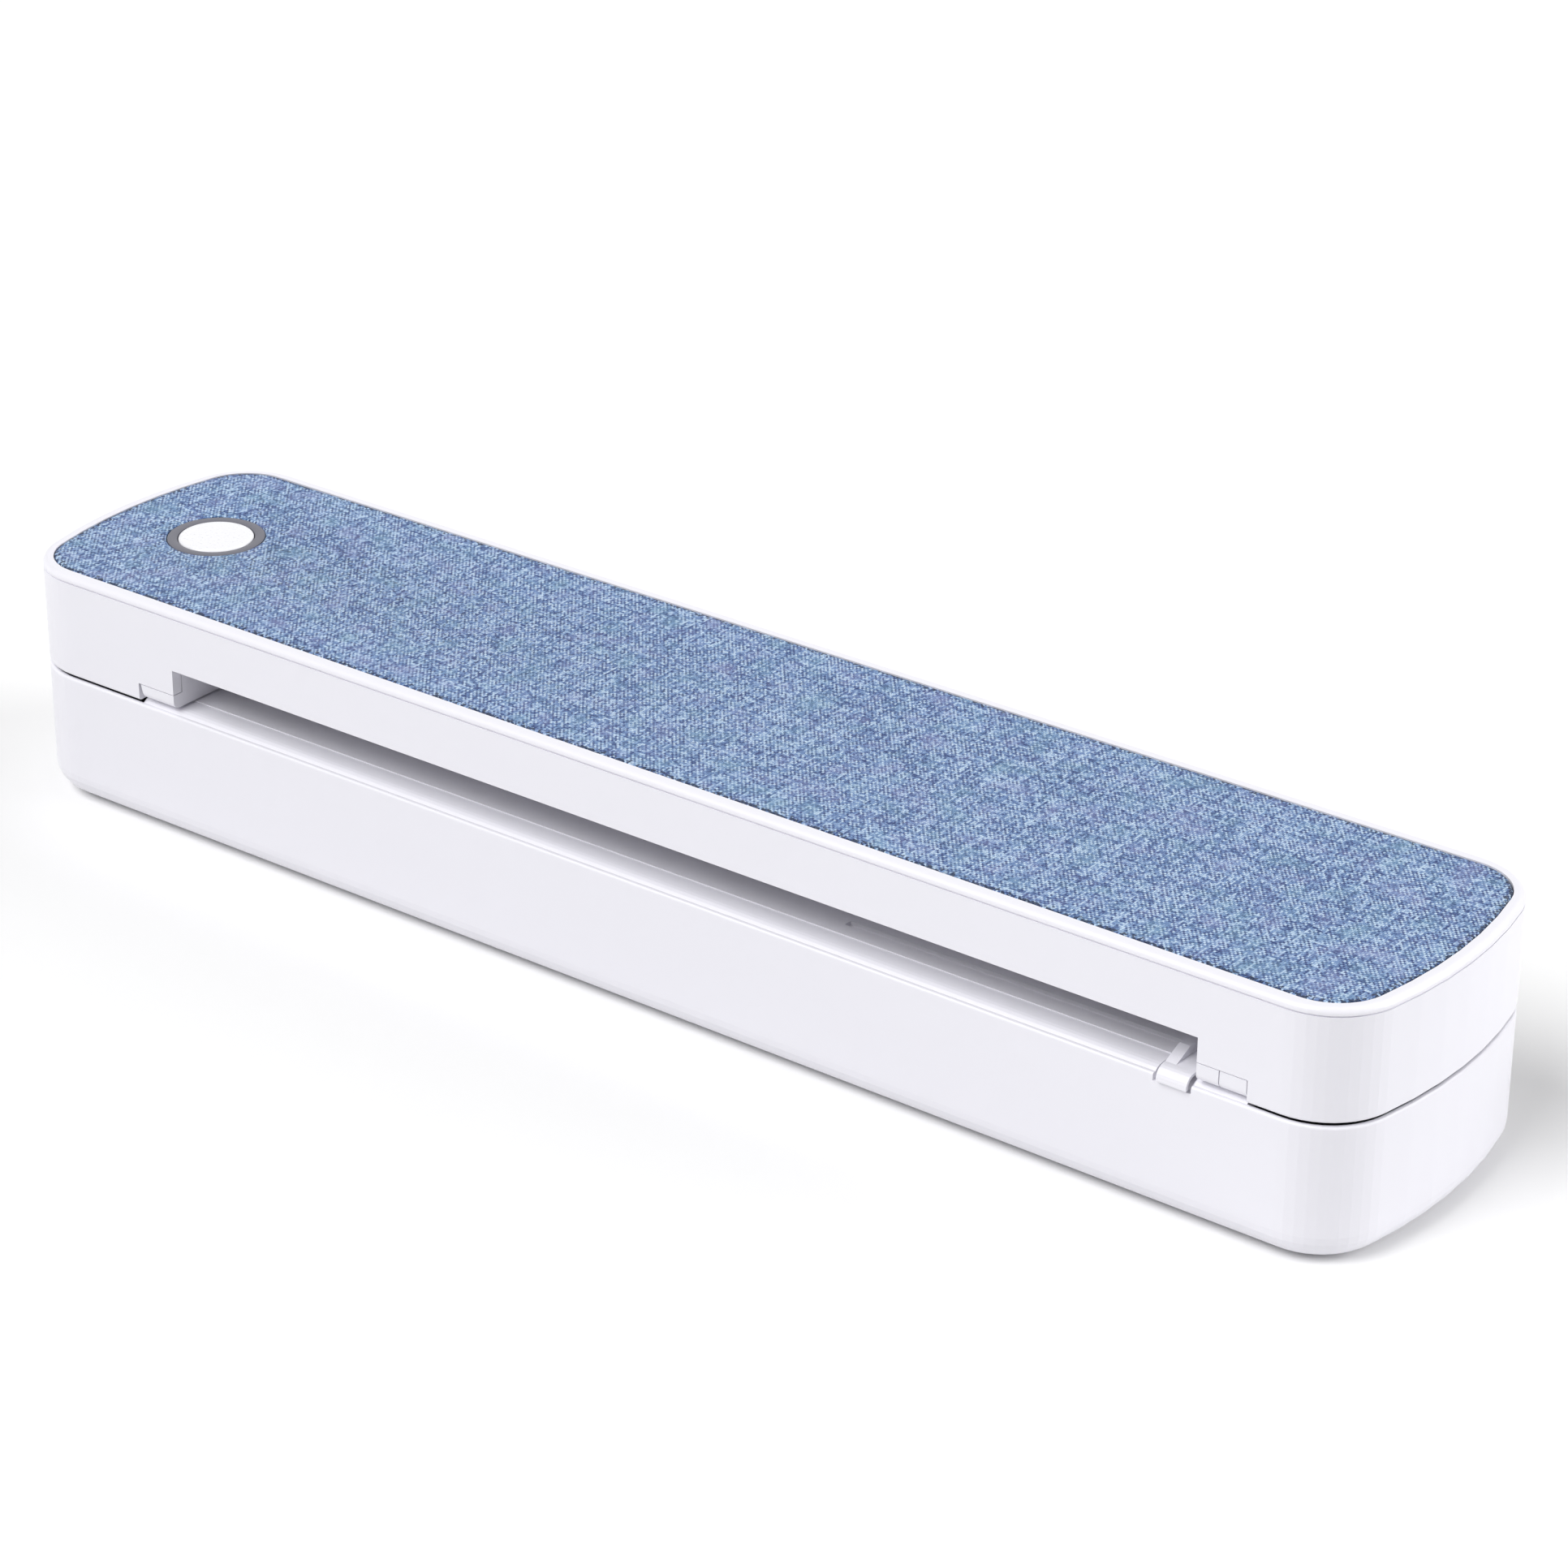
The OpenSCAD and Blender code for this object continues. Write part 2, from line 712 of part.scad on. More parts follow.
module deck() {
  color(white)
    difference() {
      union() {
        box(deck_left, deck_right, shelf_back, deck_back, deck_bottom, deck_z);
        for (x = post_xs, y = post_ys)
          post(x, y, floor_z + post_h, deck_bottom + over / 2, post_r - 0.5);
      }
      // window for the platen
      box(platen_left - 0.8, platen_right + 0.8, platen_y - platen_r + 0.4,
        platen_y + platen_r - 0.4, deck_bottom - over, deck_z + over);
      // groove that the width guide's rib runs in
      box(guide_stop_x(), deck_right + over, groove_y() - guide_groove_w / 2,
        groove_y() + guide_groove_w / 2, deck_z - guide_groove_d, deck_z + over);
      post(sensor_x, sensor_y, deck_bottom - over, deck_z + over, 1.6);
      for (x = post_xs, y = post_ys)
        post(x, y, floor_z + post_h - over, floor_z + post_h + case_screw_l, screw_r + 0.05);
    }
}

sensor_x = 0;
sensor_y = platen_y + 12;
groove_in = 9.8;
function groove_y() = front_y + groove_in;
function guide_stop_x() = path_left + paper_min + paper_play - over;

// a steel plate across the case, with a foot that is screwed to the floor
module side_plate(x0, foot_x0, foot_x1, foot_ys) {
  box(x0, x0 + sheet_t, frame_front, frame_back, floor_z, platen_z + bush_r);
  difference() {
    box(min(x0, foot_x0), max(x0 + sheet_t, foot_x1), frame_front, frame_back,
      floor_z, floor_z + frame_foot_t);
    for (y = foot_ys)
      post((foot_x0 + foot_x1) / 2, y, floor_z - over, floor_z + over * 3, screw_r + 0.1);
  }
}

left_foot_x = [left_frame_x + sheet_t, left_frame_x + sheet_t + 4.4];
right_foot_x = [right_frame_x + sheet_t, right_frame_x + sheet_t + 7];
bracket_foot_x = [bracket_x + sheet_t, bracket_x + sheet_t + 7];
// the frames stand between the case's posts
frame_front = post_ys[0] + post_r + 3.05;
frame_back = post_ys[1] - post_r - 0.3;
frame_foot_t = 1.2;
frame_foot_ys = [frame_front + 4, frame_back - 5];
bracket_back = back_y - 8.25;
bracket_foot_ys = [platen_y - 14, bracket_back - 3.4];
function frame_holes() = concat(
  [for (y = frame_foot_ys) [(left_foot_x[0] + left_foot_x[1]) / 2, y]],
  [for (y = frame_foot_ys) [(right_foot_x[0] + right_foot_x[1]) / 2, y]],
  [for (y = bracket_foot_ys) [(bracket_foot_x[0] + bracket_foot_x[1]) / 2, y]]);

module side_frame_left() {
  color(steel)
    difference() {
      side_plate(left_frame_x, left_foot_x[0], left_foot_x[1], frame_foot_ys);
      rod_x(left_frame_x - over, left_frame_x + sheet_t + over, platen_y, platen_z,
        bush_r + 0.02);
      rod_x(left_frame_x - over, left_frame_x + sheet_t + over, double_y, double_z,
        axle_r + 0.02);
    }
}

module side_frame_right() {
  color(steel)
    difference() {
      side_plate(right_frame_x, right_foot_x[0], right_foot_x[1], frame_foot_ys);
      rod_x(right_frame_x - over, right_frame_x + sheet_t + over, platen_y, platen_z,
        bush_r + 0.02);
      rod_x(right_frame_x - over, right_frame_x + sheet_t + over, cable_y, cable_z,
        head_cable_r + 1);
    }
}

module platen_shaft() {
  color(steel)
    rod_x(gear_x - 0.4, right_frame_x + sheet_t + 3, platen_y, platen_z, shaft_r);
}

module platen_rubber() {
  color(black)
    difference() {
      rod_x(platen_left, platen_right, platen_y, platen_z, platen_r);
      rod_x(platen_left - over, platen_right + over, platen_y, platen_z, shaft_r);
    }
}

module platen_gear() {
  color(white)
    difference() {
      union() {
        gear(platen_teeth, gear_x, gear_x + gear_w, platen_y, platen_z, double_a);
        rod_x(gear_x, gear_x + gear_w + 1.4, platen_y, platen_z, shaft_r + 1.4);
      }
      rod_x(gear_x - over, gear_x + gear_w + 3, platen_y, platen_z, shaft_r);
    }
}

// a bushing in a side frame, whose flange lies on the frame's outer face
module bushing(x0, flange_x) {
  color([0.8, 0.76, 0.62])
    difference() {
      union() {
        rod_x(x0, x0 + bush_l, platen_y, platen_z, bush_r);
        rod_x(flange_x, flange_x + bush_l - sheet_t, platen_y, platen_z, bush_r + 1);
      }
      rod_x(x0 - over, x0 + bush_l + over, platen_y, platen_z, shaft_r + run);
    }
}

module bushing_left() {
  x0 = left_frame_x + sheet_t - bush_l;
  bushing(x0, x0);
}

module bushing_right() {
  bushing(right_frame_x, right_frame_x + sheet_t);
}

module double_gear() {
  color([0.9, 0.9, 0.88])
    difference() {
      union() {
        gear(large_teeth, large_x, large_x + large_w, double_y, double_z, motor_a);
        gear(small_teeth, large_x + large_w - over / 2, gear_x + gear_w, double_y, double_z,
          double_a + 180 + 180 / small_teeth);
      }
      rod_x(large_x - over, gear_x + gear_w + over, double_y, double_z, axle_r + run);
    }
}

module gear_axle() {
  color(steel)
    rod_x(bracket_x, left_frame_x + sheet_t, double_y, double_z, axle_r);
}

ear_r = 3;
function ear_y(side) = motor_y + side * motor_ear * cos(ear_a);
function ear_z(side) = motor_z + side * motor_ear * sin(ear_a);

module motor_bracket() {
  color(steel)
    difference() {
      union() {
        box(bracket_x, bracket_x + sheet_t, platen_y - 18, bracket_back, floor_z,
          double_z + axle_r + 4);
        box(bracket_x, bracket_foot_x[1], platen_y - 18, bracket_back, floor_z,
          floor_z + frame_foot_t);
      }
      for (y = bracket_foot_ys)
        post((bracket_foot_x[0] + bracket_foot_x[1]) / 2, y, floor_z - over,
          floor_z + over * 3, screw_r + 0.1);
      rod_x(bracket_x - over, bracket_x + sheet_t + over, double_y, double_z, axle_r + 0.02);
      rod_x(bracket_x - over, bracket_x + sheet_t + over, motor_y, motor_z, 4);
      for (side = [-1, 1])
        rod_x(bracket_x - over, bracket_x + sheet_t + over, ear_y(side), ear_z(side),
          screw_r + 0.1);
    }
}

module motor() {
  color([0.78, 0.79, 0.8])
    difference() {
      union() {
        rod_x(bracket_x - motor_l, bracket_x, motor_y, motor_z, motor_r);
        along_x(bracket_x - 0.8, bracket_x)
          translate([motor_y, motor_z])
            rotate(ear_a) {
              translate([-motor_ear, -ear_r + 0.3])
                square([2 * motor_ear, 2 * ear_r - 0.6]);
              for (side = [-1, 1])
                translate([side * motor_ear, 0])
                  circle(ear_r);
            }
        rod_x(bracket_x - over, bracket_x + 1.4, motor_y, motor_z, 3.8);
      }
      rod_x(bracket_x - 3, bracket_x + 3, motor_y, motor_z, motor_shaft_r + run);
      for (side = [-1, 1])
        rod_x(bracket_x - 2, bracket_x + over, ear_y(side), ear_z(side),
          screw_r + 0.05);
    }
}

module motor_shaft() {
  color(steel)
    rod_x(bracket_x - 2.9, large_x + large_w, motor_y, motor_z, motor_shaft_r);
}

module motor_pinion() {
  color([0.85, 0.7, 0.35])
    difference() {
      gear(pinion_teeth, large_x - 0.4, large_x + large_w, motor_y, motor_z,
        motor_a + 180 + 180 / pinion_teeth);
      rod_x(large_x - over, large_x + large_w + over, motor_y, motor_z, motor_shaft_r);
    }
}

// a pan-head screw along +Z, whose head sits on the point given
module screw(x, y, z, length, way) {
  translate([x, y, z])
    mirror([0, 0, way > 0 ? 0 : 1])
      difference() {
        union() {
          cylinder(h = head_h, r = head_r);
          translate([0, 0, -length])
            cylinder(h = length + join, r = screw_r - 0.02);
        }
        translate([0, 0, head_h - 0.6])
          for (turn = [0, 90])
            rotate(turn)
              translate([-1.1, -0.3, 0])
                cube([2.2, 0.6, over]);
      }
}

module motor_screws() {
  color(steel)
    for (side = [-1, 1])
      translate([bracket_x + sheet_t, ear_y(side), ear_z(side)])
        rotate([0, 90, 0])
          screw(0, 0, 0, sheet_t + 0.8, 1);
}

module battery_tray() {
  color([0.2, 0.2, 0.22])
    difference() {
      box(tray_left, tray_right, cell_y - cell_r - 1.3, cell_y + cell_r + 1.3,
        floor_z, cell_z);
      rod_x(cell_left - 0.2, tray_right - tray_t, cell_y, cell_z, cell_r + 0.1);
      box(cell_left - 0.2, tray_right - tray_t, cell_y - cell_r - 0.1, cell_y + cell_r + 0.1,
        cell_z - 1, cell_z + over);
      // clear of the round between the case's floor and front
      box(tray_left - over, tray_right + over, front_y, front_y + case_round, floor_z - over,
        floor_z + 1);
    }
}

// a cell with its raised positive end
module cell(x0) {
  color([0.25, 0.5, 0.75]) {
    rod_x(x0, x0 + cell_l - 1, cell_y, cell_z, cell_r);
    rod_x(x0 + cell_l - 1 - join, x0 + cell_l, cell_y, cell_z, 3.2);
  }
}

module battery_cell_left() {
  cell(cell_left);
}

module battery_cell_right() {
  cell(cell_left + cell_l + cell_gap);
}

module battery_lead() {
  color([0.75, 0.1, 0.1])
    tube(smooth(battery_route, 2), battery_lead_r, 8);
}

module motor_lead() {
  color([0.85, 0.85, 0.85])
    tube(smooth(motor_route, 3), motor_lead_r, 8);
}

module main_board() {
  color([0.08, 0.4, 0.2])
    difference() {
      box(main_x, main_x + main_l, main_front, main_back, main_z, main_z + board_t);
      for (x = main_holes_x(), y = main_holes_y())
        post(x, y, main_z - over, main_z + board_t + over, screw_r + 0.1);
    }
}

// a part on the main board, placed from the board's left front corner
module on_board(x, y, l, w, h) {
  translate([main_x + x, main_front + y, board_top])
    cube([l, w, h]);
}

// chips and coils: place and size as shares of the board's length and depth, and height
board_chips = [
  [0.36, 0.35, 0.14, 0.22, 1], [0.17, 0.48, 0.09, 0.13, 1], [0.62, 0.4, 0.1, 0.15, 3],
  [0.76, 0.4, 0.1, 0.15, 3], [0.56, 0.74, 0.07, 0.09, 1], [0.2, 0.1, 0.22, 0.06, 0.9]
];

module board_parts() {
  color(black) {
    for (c = board_chips)
      on_board(c[0] * main_l, c[1] * main_w, c[2] * main_l, c[3] * main_w, c[4]);
    // sockets of the battery, the motor and the print head
    on_board(4, 10, 5, 8, 4);
    on_board(1.5, main_w - 14, 5, 4, 4);
    on_board(main_l - 7, cable_y - main_front - 1.6, 6, 9, 4.4);
  }
}

module charging_socket() {
  color(steel)
    difference() {
      box(usb_x - usb_w / 2, usb_x + usb_w / 2, back_y - 0.7 - usb_l, back_y - 0.7,
        board_top, board_top + usb_h);
      difference() {
        box(usb_x - usb_w / 2 + 0.35, usb_x + usb_w / 2 - 0.35, back_y - 0.7 - usb_l + over,
          back_y, board_top + 0.35, board_top + usb_h - 0.35);
        box(usb_x - usb_w / 2 + 1.2, usb_x + usb_w / 2 - 1.2, back_y - 0.7 - usb_l,
          back_y - 1.4, board_top + usb_h / 2 - 0.35, board_top + usb_h / 2 + 0.35);
      }
    }
}

module paper_sensor() {
  color(black)
    difference() {
      box(sensor_x - 3, sensor_x + 3, sensor_y - 2.2, sensor_y + 2.2, deck_bottom - 3,
        deck_bottom);
      post(sensor_x, sensor_y, deck_bottom - 1.5, deck_bottom + over, 1.2);
    }
}

// a clip of sheet spring that grips a stud, fixed to a side frame's face at plate_x
module latch_clip(x, plate_x) {
  low = stud_low - 2;
  top = case_top - 1;
  color([0.8, 0.78, 0.7]) {
    difference() {
      box(x - clip_in - clip_t, x + clip_in + clip_t, stud_y - clip_l / 2,
        stud_y + clip_l / 2, low, top);
      box(x - clip_in, x + clip_in, stud_y - clip_l, stud_y + clip_l, low + clip_t,
        top + over);
    }
    box(min(x - clip_in - clip_t, plate_x), max(x - clip_in, plate_x + clip_t),
      stud_y - clip_l / 2, stud_y + clip_l / 2, low, low + clip_t);
    box(plate_x, plate_x + clip_t, stud_y - clip_l / 2, platen_y - 9, low - 4,
      low + clip_t);
  }
}

module latch_clip_left() {
  latch_clip(stud_xs[0], left_frame_x - clip_t);
}

module latch_clip_right() {
  latch_clip(stud_xs[1], right_frame_x + sheet_t);
}

module hinge_pin(hinge_x) {
  color(steel)
    rod_x(hinge_x + 0.8, hinge_x + hinge_l, hinge_y, hinge_z, pin_r);
}

module hinge_pin_left() {
  hinge_pin(hinge_left_x);
}

module hinge_pin_right() {
  hinge_pin(hinge_right_x);
}

module foot(x, y) {
  color([0.35, 0.35, 0.37])
    post(x, y, 0, case_bottom + foot_seat, foot_r);
}

module foot_front_left() {
  foot(-foot_x, -foot_y);
}

module foot_front_right() {
  foot(foot_x, -foot_y);
}

module foot_back_left() {
  foot(-foot_x, foot_y);
}

module foot_back_right() {
  foot(foot_x, foot_y);
}

module case_screws() {
  color(steel)
    for (x = post_xs, y = post_ys)
      screw(x, y, floor_z + post_h - 2, case_screw_l, -1);
}

module frame_screws() {
  color(steel)
    for (p = frame_holes())
      screw(p.x, p.y, floor_z + frame_foot_t, wall, 1);
}

module board_screws() {
  color(steel)
    for (x = main_holes_x(), y = main_holes_y())
      screw(x, y, board_top, board_t + main_post + 0.8, 1);
}

// ---- the width guide, which slides along the lip ----

module width_guide() {
  x0 = guide_x;
  hook_y = front_y - 0.1;
  hook_z = lip_z - guide_drop;
  low = deck_z + 0.1;
  top = low + guide_t;
  turn_y = hook_y - guide_t + guide_round;
  turn_z = top - guide_round;
  fence_y = turn_y + 0.6;
  color(white) {
    // the plate and its hook, which turns down over the lip
    along_x(x0, x0 + guide_w)
      polygon(concat(
        [[hook_y - guide_t, hook_z]],
        arc(turn_y, turn_z, guide_round, 180, 90, 6),
        [[front_y + guide_d, top], [front_y + guide_d, low]],
        arc(turn_y, turn_z, guide_round - guide_t, 90, 180, 6),
        [[hook_y, hook_z]]));
    // the fence, whose front is a ramp
    along_x(x0, x0 + fence_w)
      polygon([
        [fence_y, low], [fence_y, top], [fence_y + fence_ramp, low + fence_h],
        [front_y + guide_d, low + fence_h], [front_y + guide_d, low]
      ]);
    box(x0 + 0.4, x0 + guide_w - 0.4, groove_y() - guide_groove_w / 2 + 0.2,
      groove_y() + guide_groove_w / 2 - 0.2, deck_z - guide_groove_d + 0.2, top);
  }
}

// ---- cover and what is fixed in it ----

module cover_knuckle(hinge_x) {
  knuckle(knuckle_x(hinge_x, 1), true);
}

cover_bosses = [
  for (x = [sink_left + 14, spring_xs[1] + 18, sink_right - 12], y = [front_y + 13, pivot_y + 2])
    [x, y]
];

module cover() {
  color(white)
    difference() {
      union() {
        difference() {
          loft(concat(
            low_edge(0, cover_bottom, split_round, 2 * edge_step), [[0, shell_top]]));
          slab(wall, cover_bottom - over, ceiling_z);
          // the rear edge is relieved round the hinge's axis
          rod_x(-body_l / 2, body_l / 2, hinge_y, hinge_z, sweep_r);
          // exit slot, the two notches beside it and the feed slot
          box(path_left, slot_right, front_y - over, front_y + wall + over,
            cover_bottom - over, slot_top);
          box(notch_left, path_left + join, front_y - over, front_y + wall + over,
            cover_bottom - over, split_z + left_notch_h);
          box(slot_right - join, notch_right, front_y - over, front_y + wall + over,
            cover_bottom - over, split_z + right_notch_h);
          box(notch_left, notch_right, front_y - over, front_y + wall + over,
            cover_bottom - over, lip_z + pass);
          box(feed_left, feed_right, back_y - wall - over, back_y + over,
            cover_bottom - over, split_z + feed_h);
        }
        cover_knuckle(hinge_left_x);
        cover_knuckle(hinge_right_x);
        for (p = cover_bosses)
          post(p.x, p.y, web_z, ceiling_z + over / 2, 2.6);
        for (side = [-1, 1])
          post(button_x + side * button_post, 0, button_board_z + board_t,
            ceiling_z + over / 2, 2.2);
      }
      for (hinge_x = [hinge_left_x, hinge_right_x])
        rod_x(knuckle_x(hinge_x, 1) - over, knuckle_x(hinge_x, 2) + over, hinge_y, hinge_z,
          pin_r + run);
      for (p = cover_bosses)
        post(p.x, p.y, web_z - over, ceiling_z + 1, screw_r);
      post(button_x, 0, ceiling_z - over, shell_top + over, ring_r + fit);
      for (side = [-1, 1])
        post(button_x + side * button_post, 0, button_board_z, ceiling_z, screw_r);
    }
}

module trim_ring() {
  color(white)
    difference() {
      union() {
        loft(concat(
          [[0, rim_z]],
          [
            for (a = [90:-edge_step:0])
              [rim_edge * (1 - sin(a)), body_h - rim_edge * (1 - cos(a))]
          ]));
        slab(groove_d, shell_top, rim_z + join);
      }
      panel_slab(-fit, shell_top - over, body_h + over);
    }
}

module panel_board() {
  color([0.75, 0.7, 0.62])
    difference() {
      panel_slab(fabric_t, shell_top, body_h - fabric_t);
      post(button_x, 0, shell_top - over, body_h + over, ring_r + fabric_t / 2);
    }
}

module fabric() {
  color([0.56, 0.66, 0.8])
    difference() {
      panel_slab(0, shell_top + 0.2, body_h);
      panel_slab(fabric_t, shell_top - over, body_h - fabric_t);
      post(button_x, 0, shell_top, body_h + over, ring_r + 0.1);
    }
}

module light_ring() {
  color([0.49, 0.5, 0.56])
    difference() {
      union() {
        post(button_x, 0, ring_flange_z, body_h - 0.1, ring_r);
        post(button_x, 0, ring_flange_z, ceiling_z, ring_r + 0.8);
      }
      post(button_x, 0, ring_flange_z - over, body_h + over, button_r + fit);
      post(button_x, 0, ring_flange_z - over, button_flange_z + 1.1, button_r + 0.9);
    }
}

module power_button() {
  color(white) {
    post(button_x, 0, button_flange_z, body_h, button_r);
    post(button_x, 0, button_flange_z, button_flange_z + 1, button_r + 0.6);
  }
}

module switch_plunger() {
  color(black)
    post(button_x, 0, switch_top - 1, plunger_top, plunger_r);
}

module power_switch() {
  color([0.3, 0.3, 0.32])
    difference() {
      box(button_x - switch_w / 2, button_x + switch_w / 2, -switch_w / 2, switch_w / 2,
        switch_top - switch_h, switch_top);
      post(button_x, 0, switch_top - 1.9, switch_top + over, plunger_r + 0.05);
    }
}

module button_board() {
  color([0.08, 0.4, 0.2])
    difference() {
      box(button_x - button_post - 2.5, button_x + button_post + 2.5, -switch_w / 2 - 4,
        switch_w / 2 + 4, button_board_z, button_board_z + board_t);
      for (side = [-1, 1])
        post(button_x + side * button_post, 0, button_board_z - over,
          button_board_z + board_t + over, screw_r + 0.1);
    }
}

// a block of the cover frame with a nose that fills the notch x0 to x1, and whose left side
// narrows by draft towards its foot
module nose_block(x0, x1, notch_h, draft) {
  low = split_z + nose_lift;
  top = split_z + notch_h - fit;
  box(x0 + draft, x1, front_y + wall + 0.2, front_y + nose_w, low, web_z + over / 2);
  difference() {
    translate([0, front_y + wall + over, 0])
      rotate([90, 0, 0])
        linear_extrude(wall + over)
          polygon([[x0 + draft, low], [x1, low], [x1, top], [x0, top]]);
    // rounded lower front edge
    translate([0, front_y, low])
      difference() {
        box(x0 - over, x1 + over, -over, nose_round, -over, nose_round);
        rod_x(x0 - over, x1 + over, nose_round, nose_round, nose_round);
      }
  }
}

module cover_frame() {
  right_x1 = notch_right - fit;
  seam_x = slot_right + 0.45 * right_notch_w;
  seam_w = 0.2;
  color(white)
    difference() {
      union() {
        box(left_cheek_x, right_x1, front_y + wall + 0.2, cheek_back, web_z, web_top);
        for (x = [left_cheek_x, right_cheek_x])
          box(x, x + cheek_t, cheek_front, cheek_back, cheek_z, web_z + over / 2);
        nose_block(notch_left + nose_gap, path_left, left_notch_h, nose_draft);
        nose_block(slot_right, right_x1, right_notch_h, 0);
        for (x = spring_xs)
          post(x, spring_y, web_z - 1.2, web_z + over / 2, spring_r - 2 * wire_r - 0.3);
      }
      for (p = cover_bosses)
        post(p.x, p.y, web_z - over, web_top + over, 2.6 + 0.1);
      rod_x(left_cheek_x - over, left_cheek_x + cheek_t + over, pivot_y, pivot_z, rod_r);
      rod_x(right_cheek_x - over, right_cheek_x + cheek_t + over, pivot_y, pivot_z, rod_r);
      for (x = stud_xs)
        post(x, stud_y, stud_low, split_z + nose_lift + 5, stud_r);
      // seam in the right nose, and the relief at the foot beside it
      box(seam_x, seam_x + seam_w, front_y - over, front_y + 0.8, cover_bottom,
        split_z + right_notch_h);
      box(seam_x - 2.6, seam_x, front_y - over, front_y + wall, cover_bottom,
        split_z + nose_lift + 0.35);
    }
}

module cover_screws() {
  color(steel) {
    for (p = cover_bosses)
      translate([p.x, p.y, web_z - 0.8]) {
        screw(0, 0, 0, web_t + 2, -1);
        difference() {
          cylinder(h = 0.8, r = 3.6);
          cylinder(h = 0.8, r = screw_r - 0.1);
        }
      }
    for (side = [-1, 1])
      screw(button_x + side * button_post, 0, button_board_z, board_t + 4, -1);
  }
}

module latch_stud(x) {
  color(steel) {
    post(x, stud_y, stud_low, split_z + nose_lift + 5, stud_r);
  }
}

module latch_stud_left() {
  latch_stud(stud_xs[0]);
}

module latch_stud_right() {
  latch_stud(stud_xs[1]);
}

// ---- print head, which swings on its rod ----

module head_rod() {
  color(steel)
    rod_x(left_cheek_x, right_cheek_x + cheek_t, pivot_y, pivot_z, rod_r);
}

module heat_sink() {
  lug_l = 4;
  color([0.8, 0.81, 0.83])
    difference() {
      union() {
        box(sink_left, sink_right, sink_front, sink_front + sink_w, sink_z, sink_top);
        for (y = [0, sink_w - 5.6, sink_w - 3.4, sink_w - 1.2])
          box(sink_left + 6, sink_right - 6, sink_front + y, sink_front + y + 1.2,
            sink_top - over / 2, sink_top + fin_h);
        for (x = [sink_left, sink_right - lug_l]) {
          rod_x(x, x + lug_l, pivot_y, pivot_z, rod_r + 1.6);
          box(x, x + lug_l, sink_front + sink_w - over, pivot_y, pivot_z - rod_r - 1.2,
            pivot_z + rod_r + 1.2);
        }
      }
      rod_x(sink_left - over, sink_right + over, pivot_y, pivot_z, rod_r + run);
    }
}

module head_ceramic() {
  color([0.88, 0.87, 0.84])
    box(sink_left, sink_right - 1, platen_y - 4, platen_y - 4 + ceramic_w, head_z, sink_z);
}

module head_board() {
  color([0.1, 0.35, 0.2])
    box(sink_left + 2, sink_right - 3, platen_y - 4 + ceramic_w, pivot_y + 0.6, sink_z - 0.6,
      sink_z);
}

module head_driver_cover() {
  color(black)
    box(sink_left + 8, sink_right - 8, platen_y - 4 + ceramic_w + 0.5,
      platen_y - 4 + ceramic_w + 3.5, sink_z - 1, sink_z - 0.6);
}

module head_socket() {
  color([0.92, 0.9, 0.84])
    box(sink_right - 23.6, sink_right - 7.6, sink_front + sink_w + 0.2, pivot_y + 1.2, sink_z,
      pivot_z - rod_r - 0.3);
}

spring_turns = 5.5;
module head_spring(x) {
  z0 = sink_top + wire_r + 0.05;
  z1 = web_z - wire_r - 0.05;
  turns_steps = 12;
  count = spring_turns * turns_steps;
  mid_r = spring_r - wire_r;
  color([0.6, 0.62, 0.65])
    tube([
      for (i = [0:count])
        let (a = 360 * i / turns_steps)
          [x + mid_r * cos(a), spring_y + mid_r * sin(a), z0 + (z1 - z0) * i / count]
    ], wire_r, 6);
}

module head_spring_left() {
  head_spring(spring_xs[0]);
}

module head_spring_middle() {
  head_spring(spring_xs[1]);
}

module head_spring_right() {
  head_spring(spring_xs[2]);
}

module head_cable() {
  color([0.2, 0.2, 0.22])
    tube(smooth(head_route, 3), head_cable_r, 8);
}

case();
deck();
side_frame_left();
side_frame_right();
platen_shaft();
platen_rubber();
platen_gear();
bushing_left();
bushing_right();
double_gear();
gear_axle();
motor_bracket();
motor();
motor_shaft();
motor_pinion();
motor_screws();
battery_tray();
battery_cell_left();
battery_cell_right();
battery_lead();
motor_lead();
main_board();
board_parts();
charging_socket();
paper_sensor();
latch_clip_left();
latch_clip_right();
hinge_pin_left();
hinge_pin_right();
foot_front_left();
foot_front_right();
foot_back_left();
foot_back_right();
case_screws();
frame_screws();
board_screws();
width_guide();
cover();
trim_ring();
panel_board();
fabric();
light_ring();
power_button();
switch_plunger();
power_switch();
button_board();
cover_frame();
cover_screws();
latch_stud_left();
latch_stud_right();
head_rod();
heat_sink();
head_ceramic();
head_board();
head_driver_cover();
head_socket();
head_spring_left();
head_spring_middle();
head_spring_right();
head_cable();
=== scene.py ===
import json
import math
import bmesh
import bpy
from mathutils import Matrix, Vector


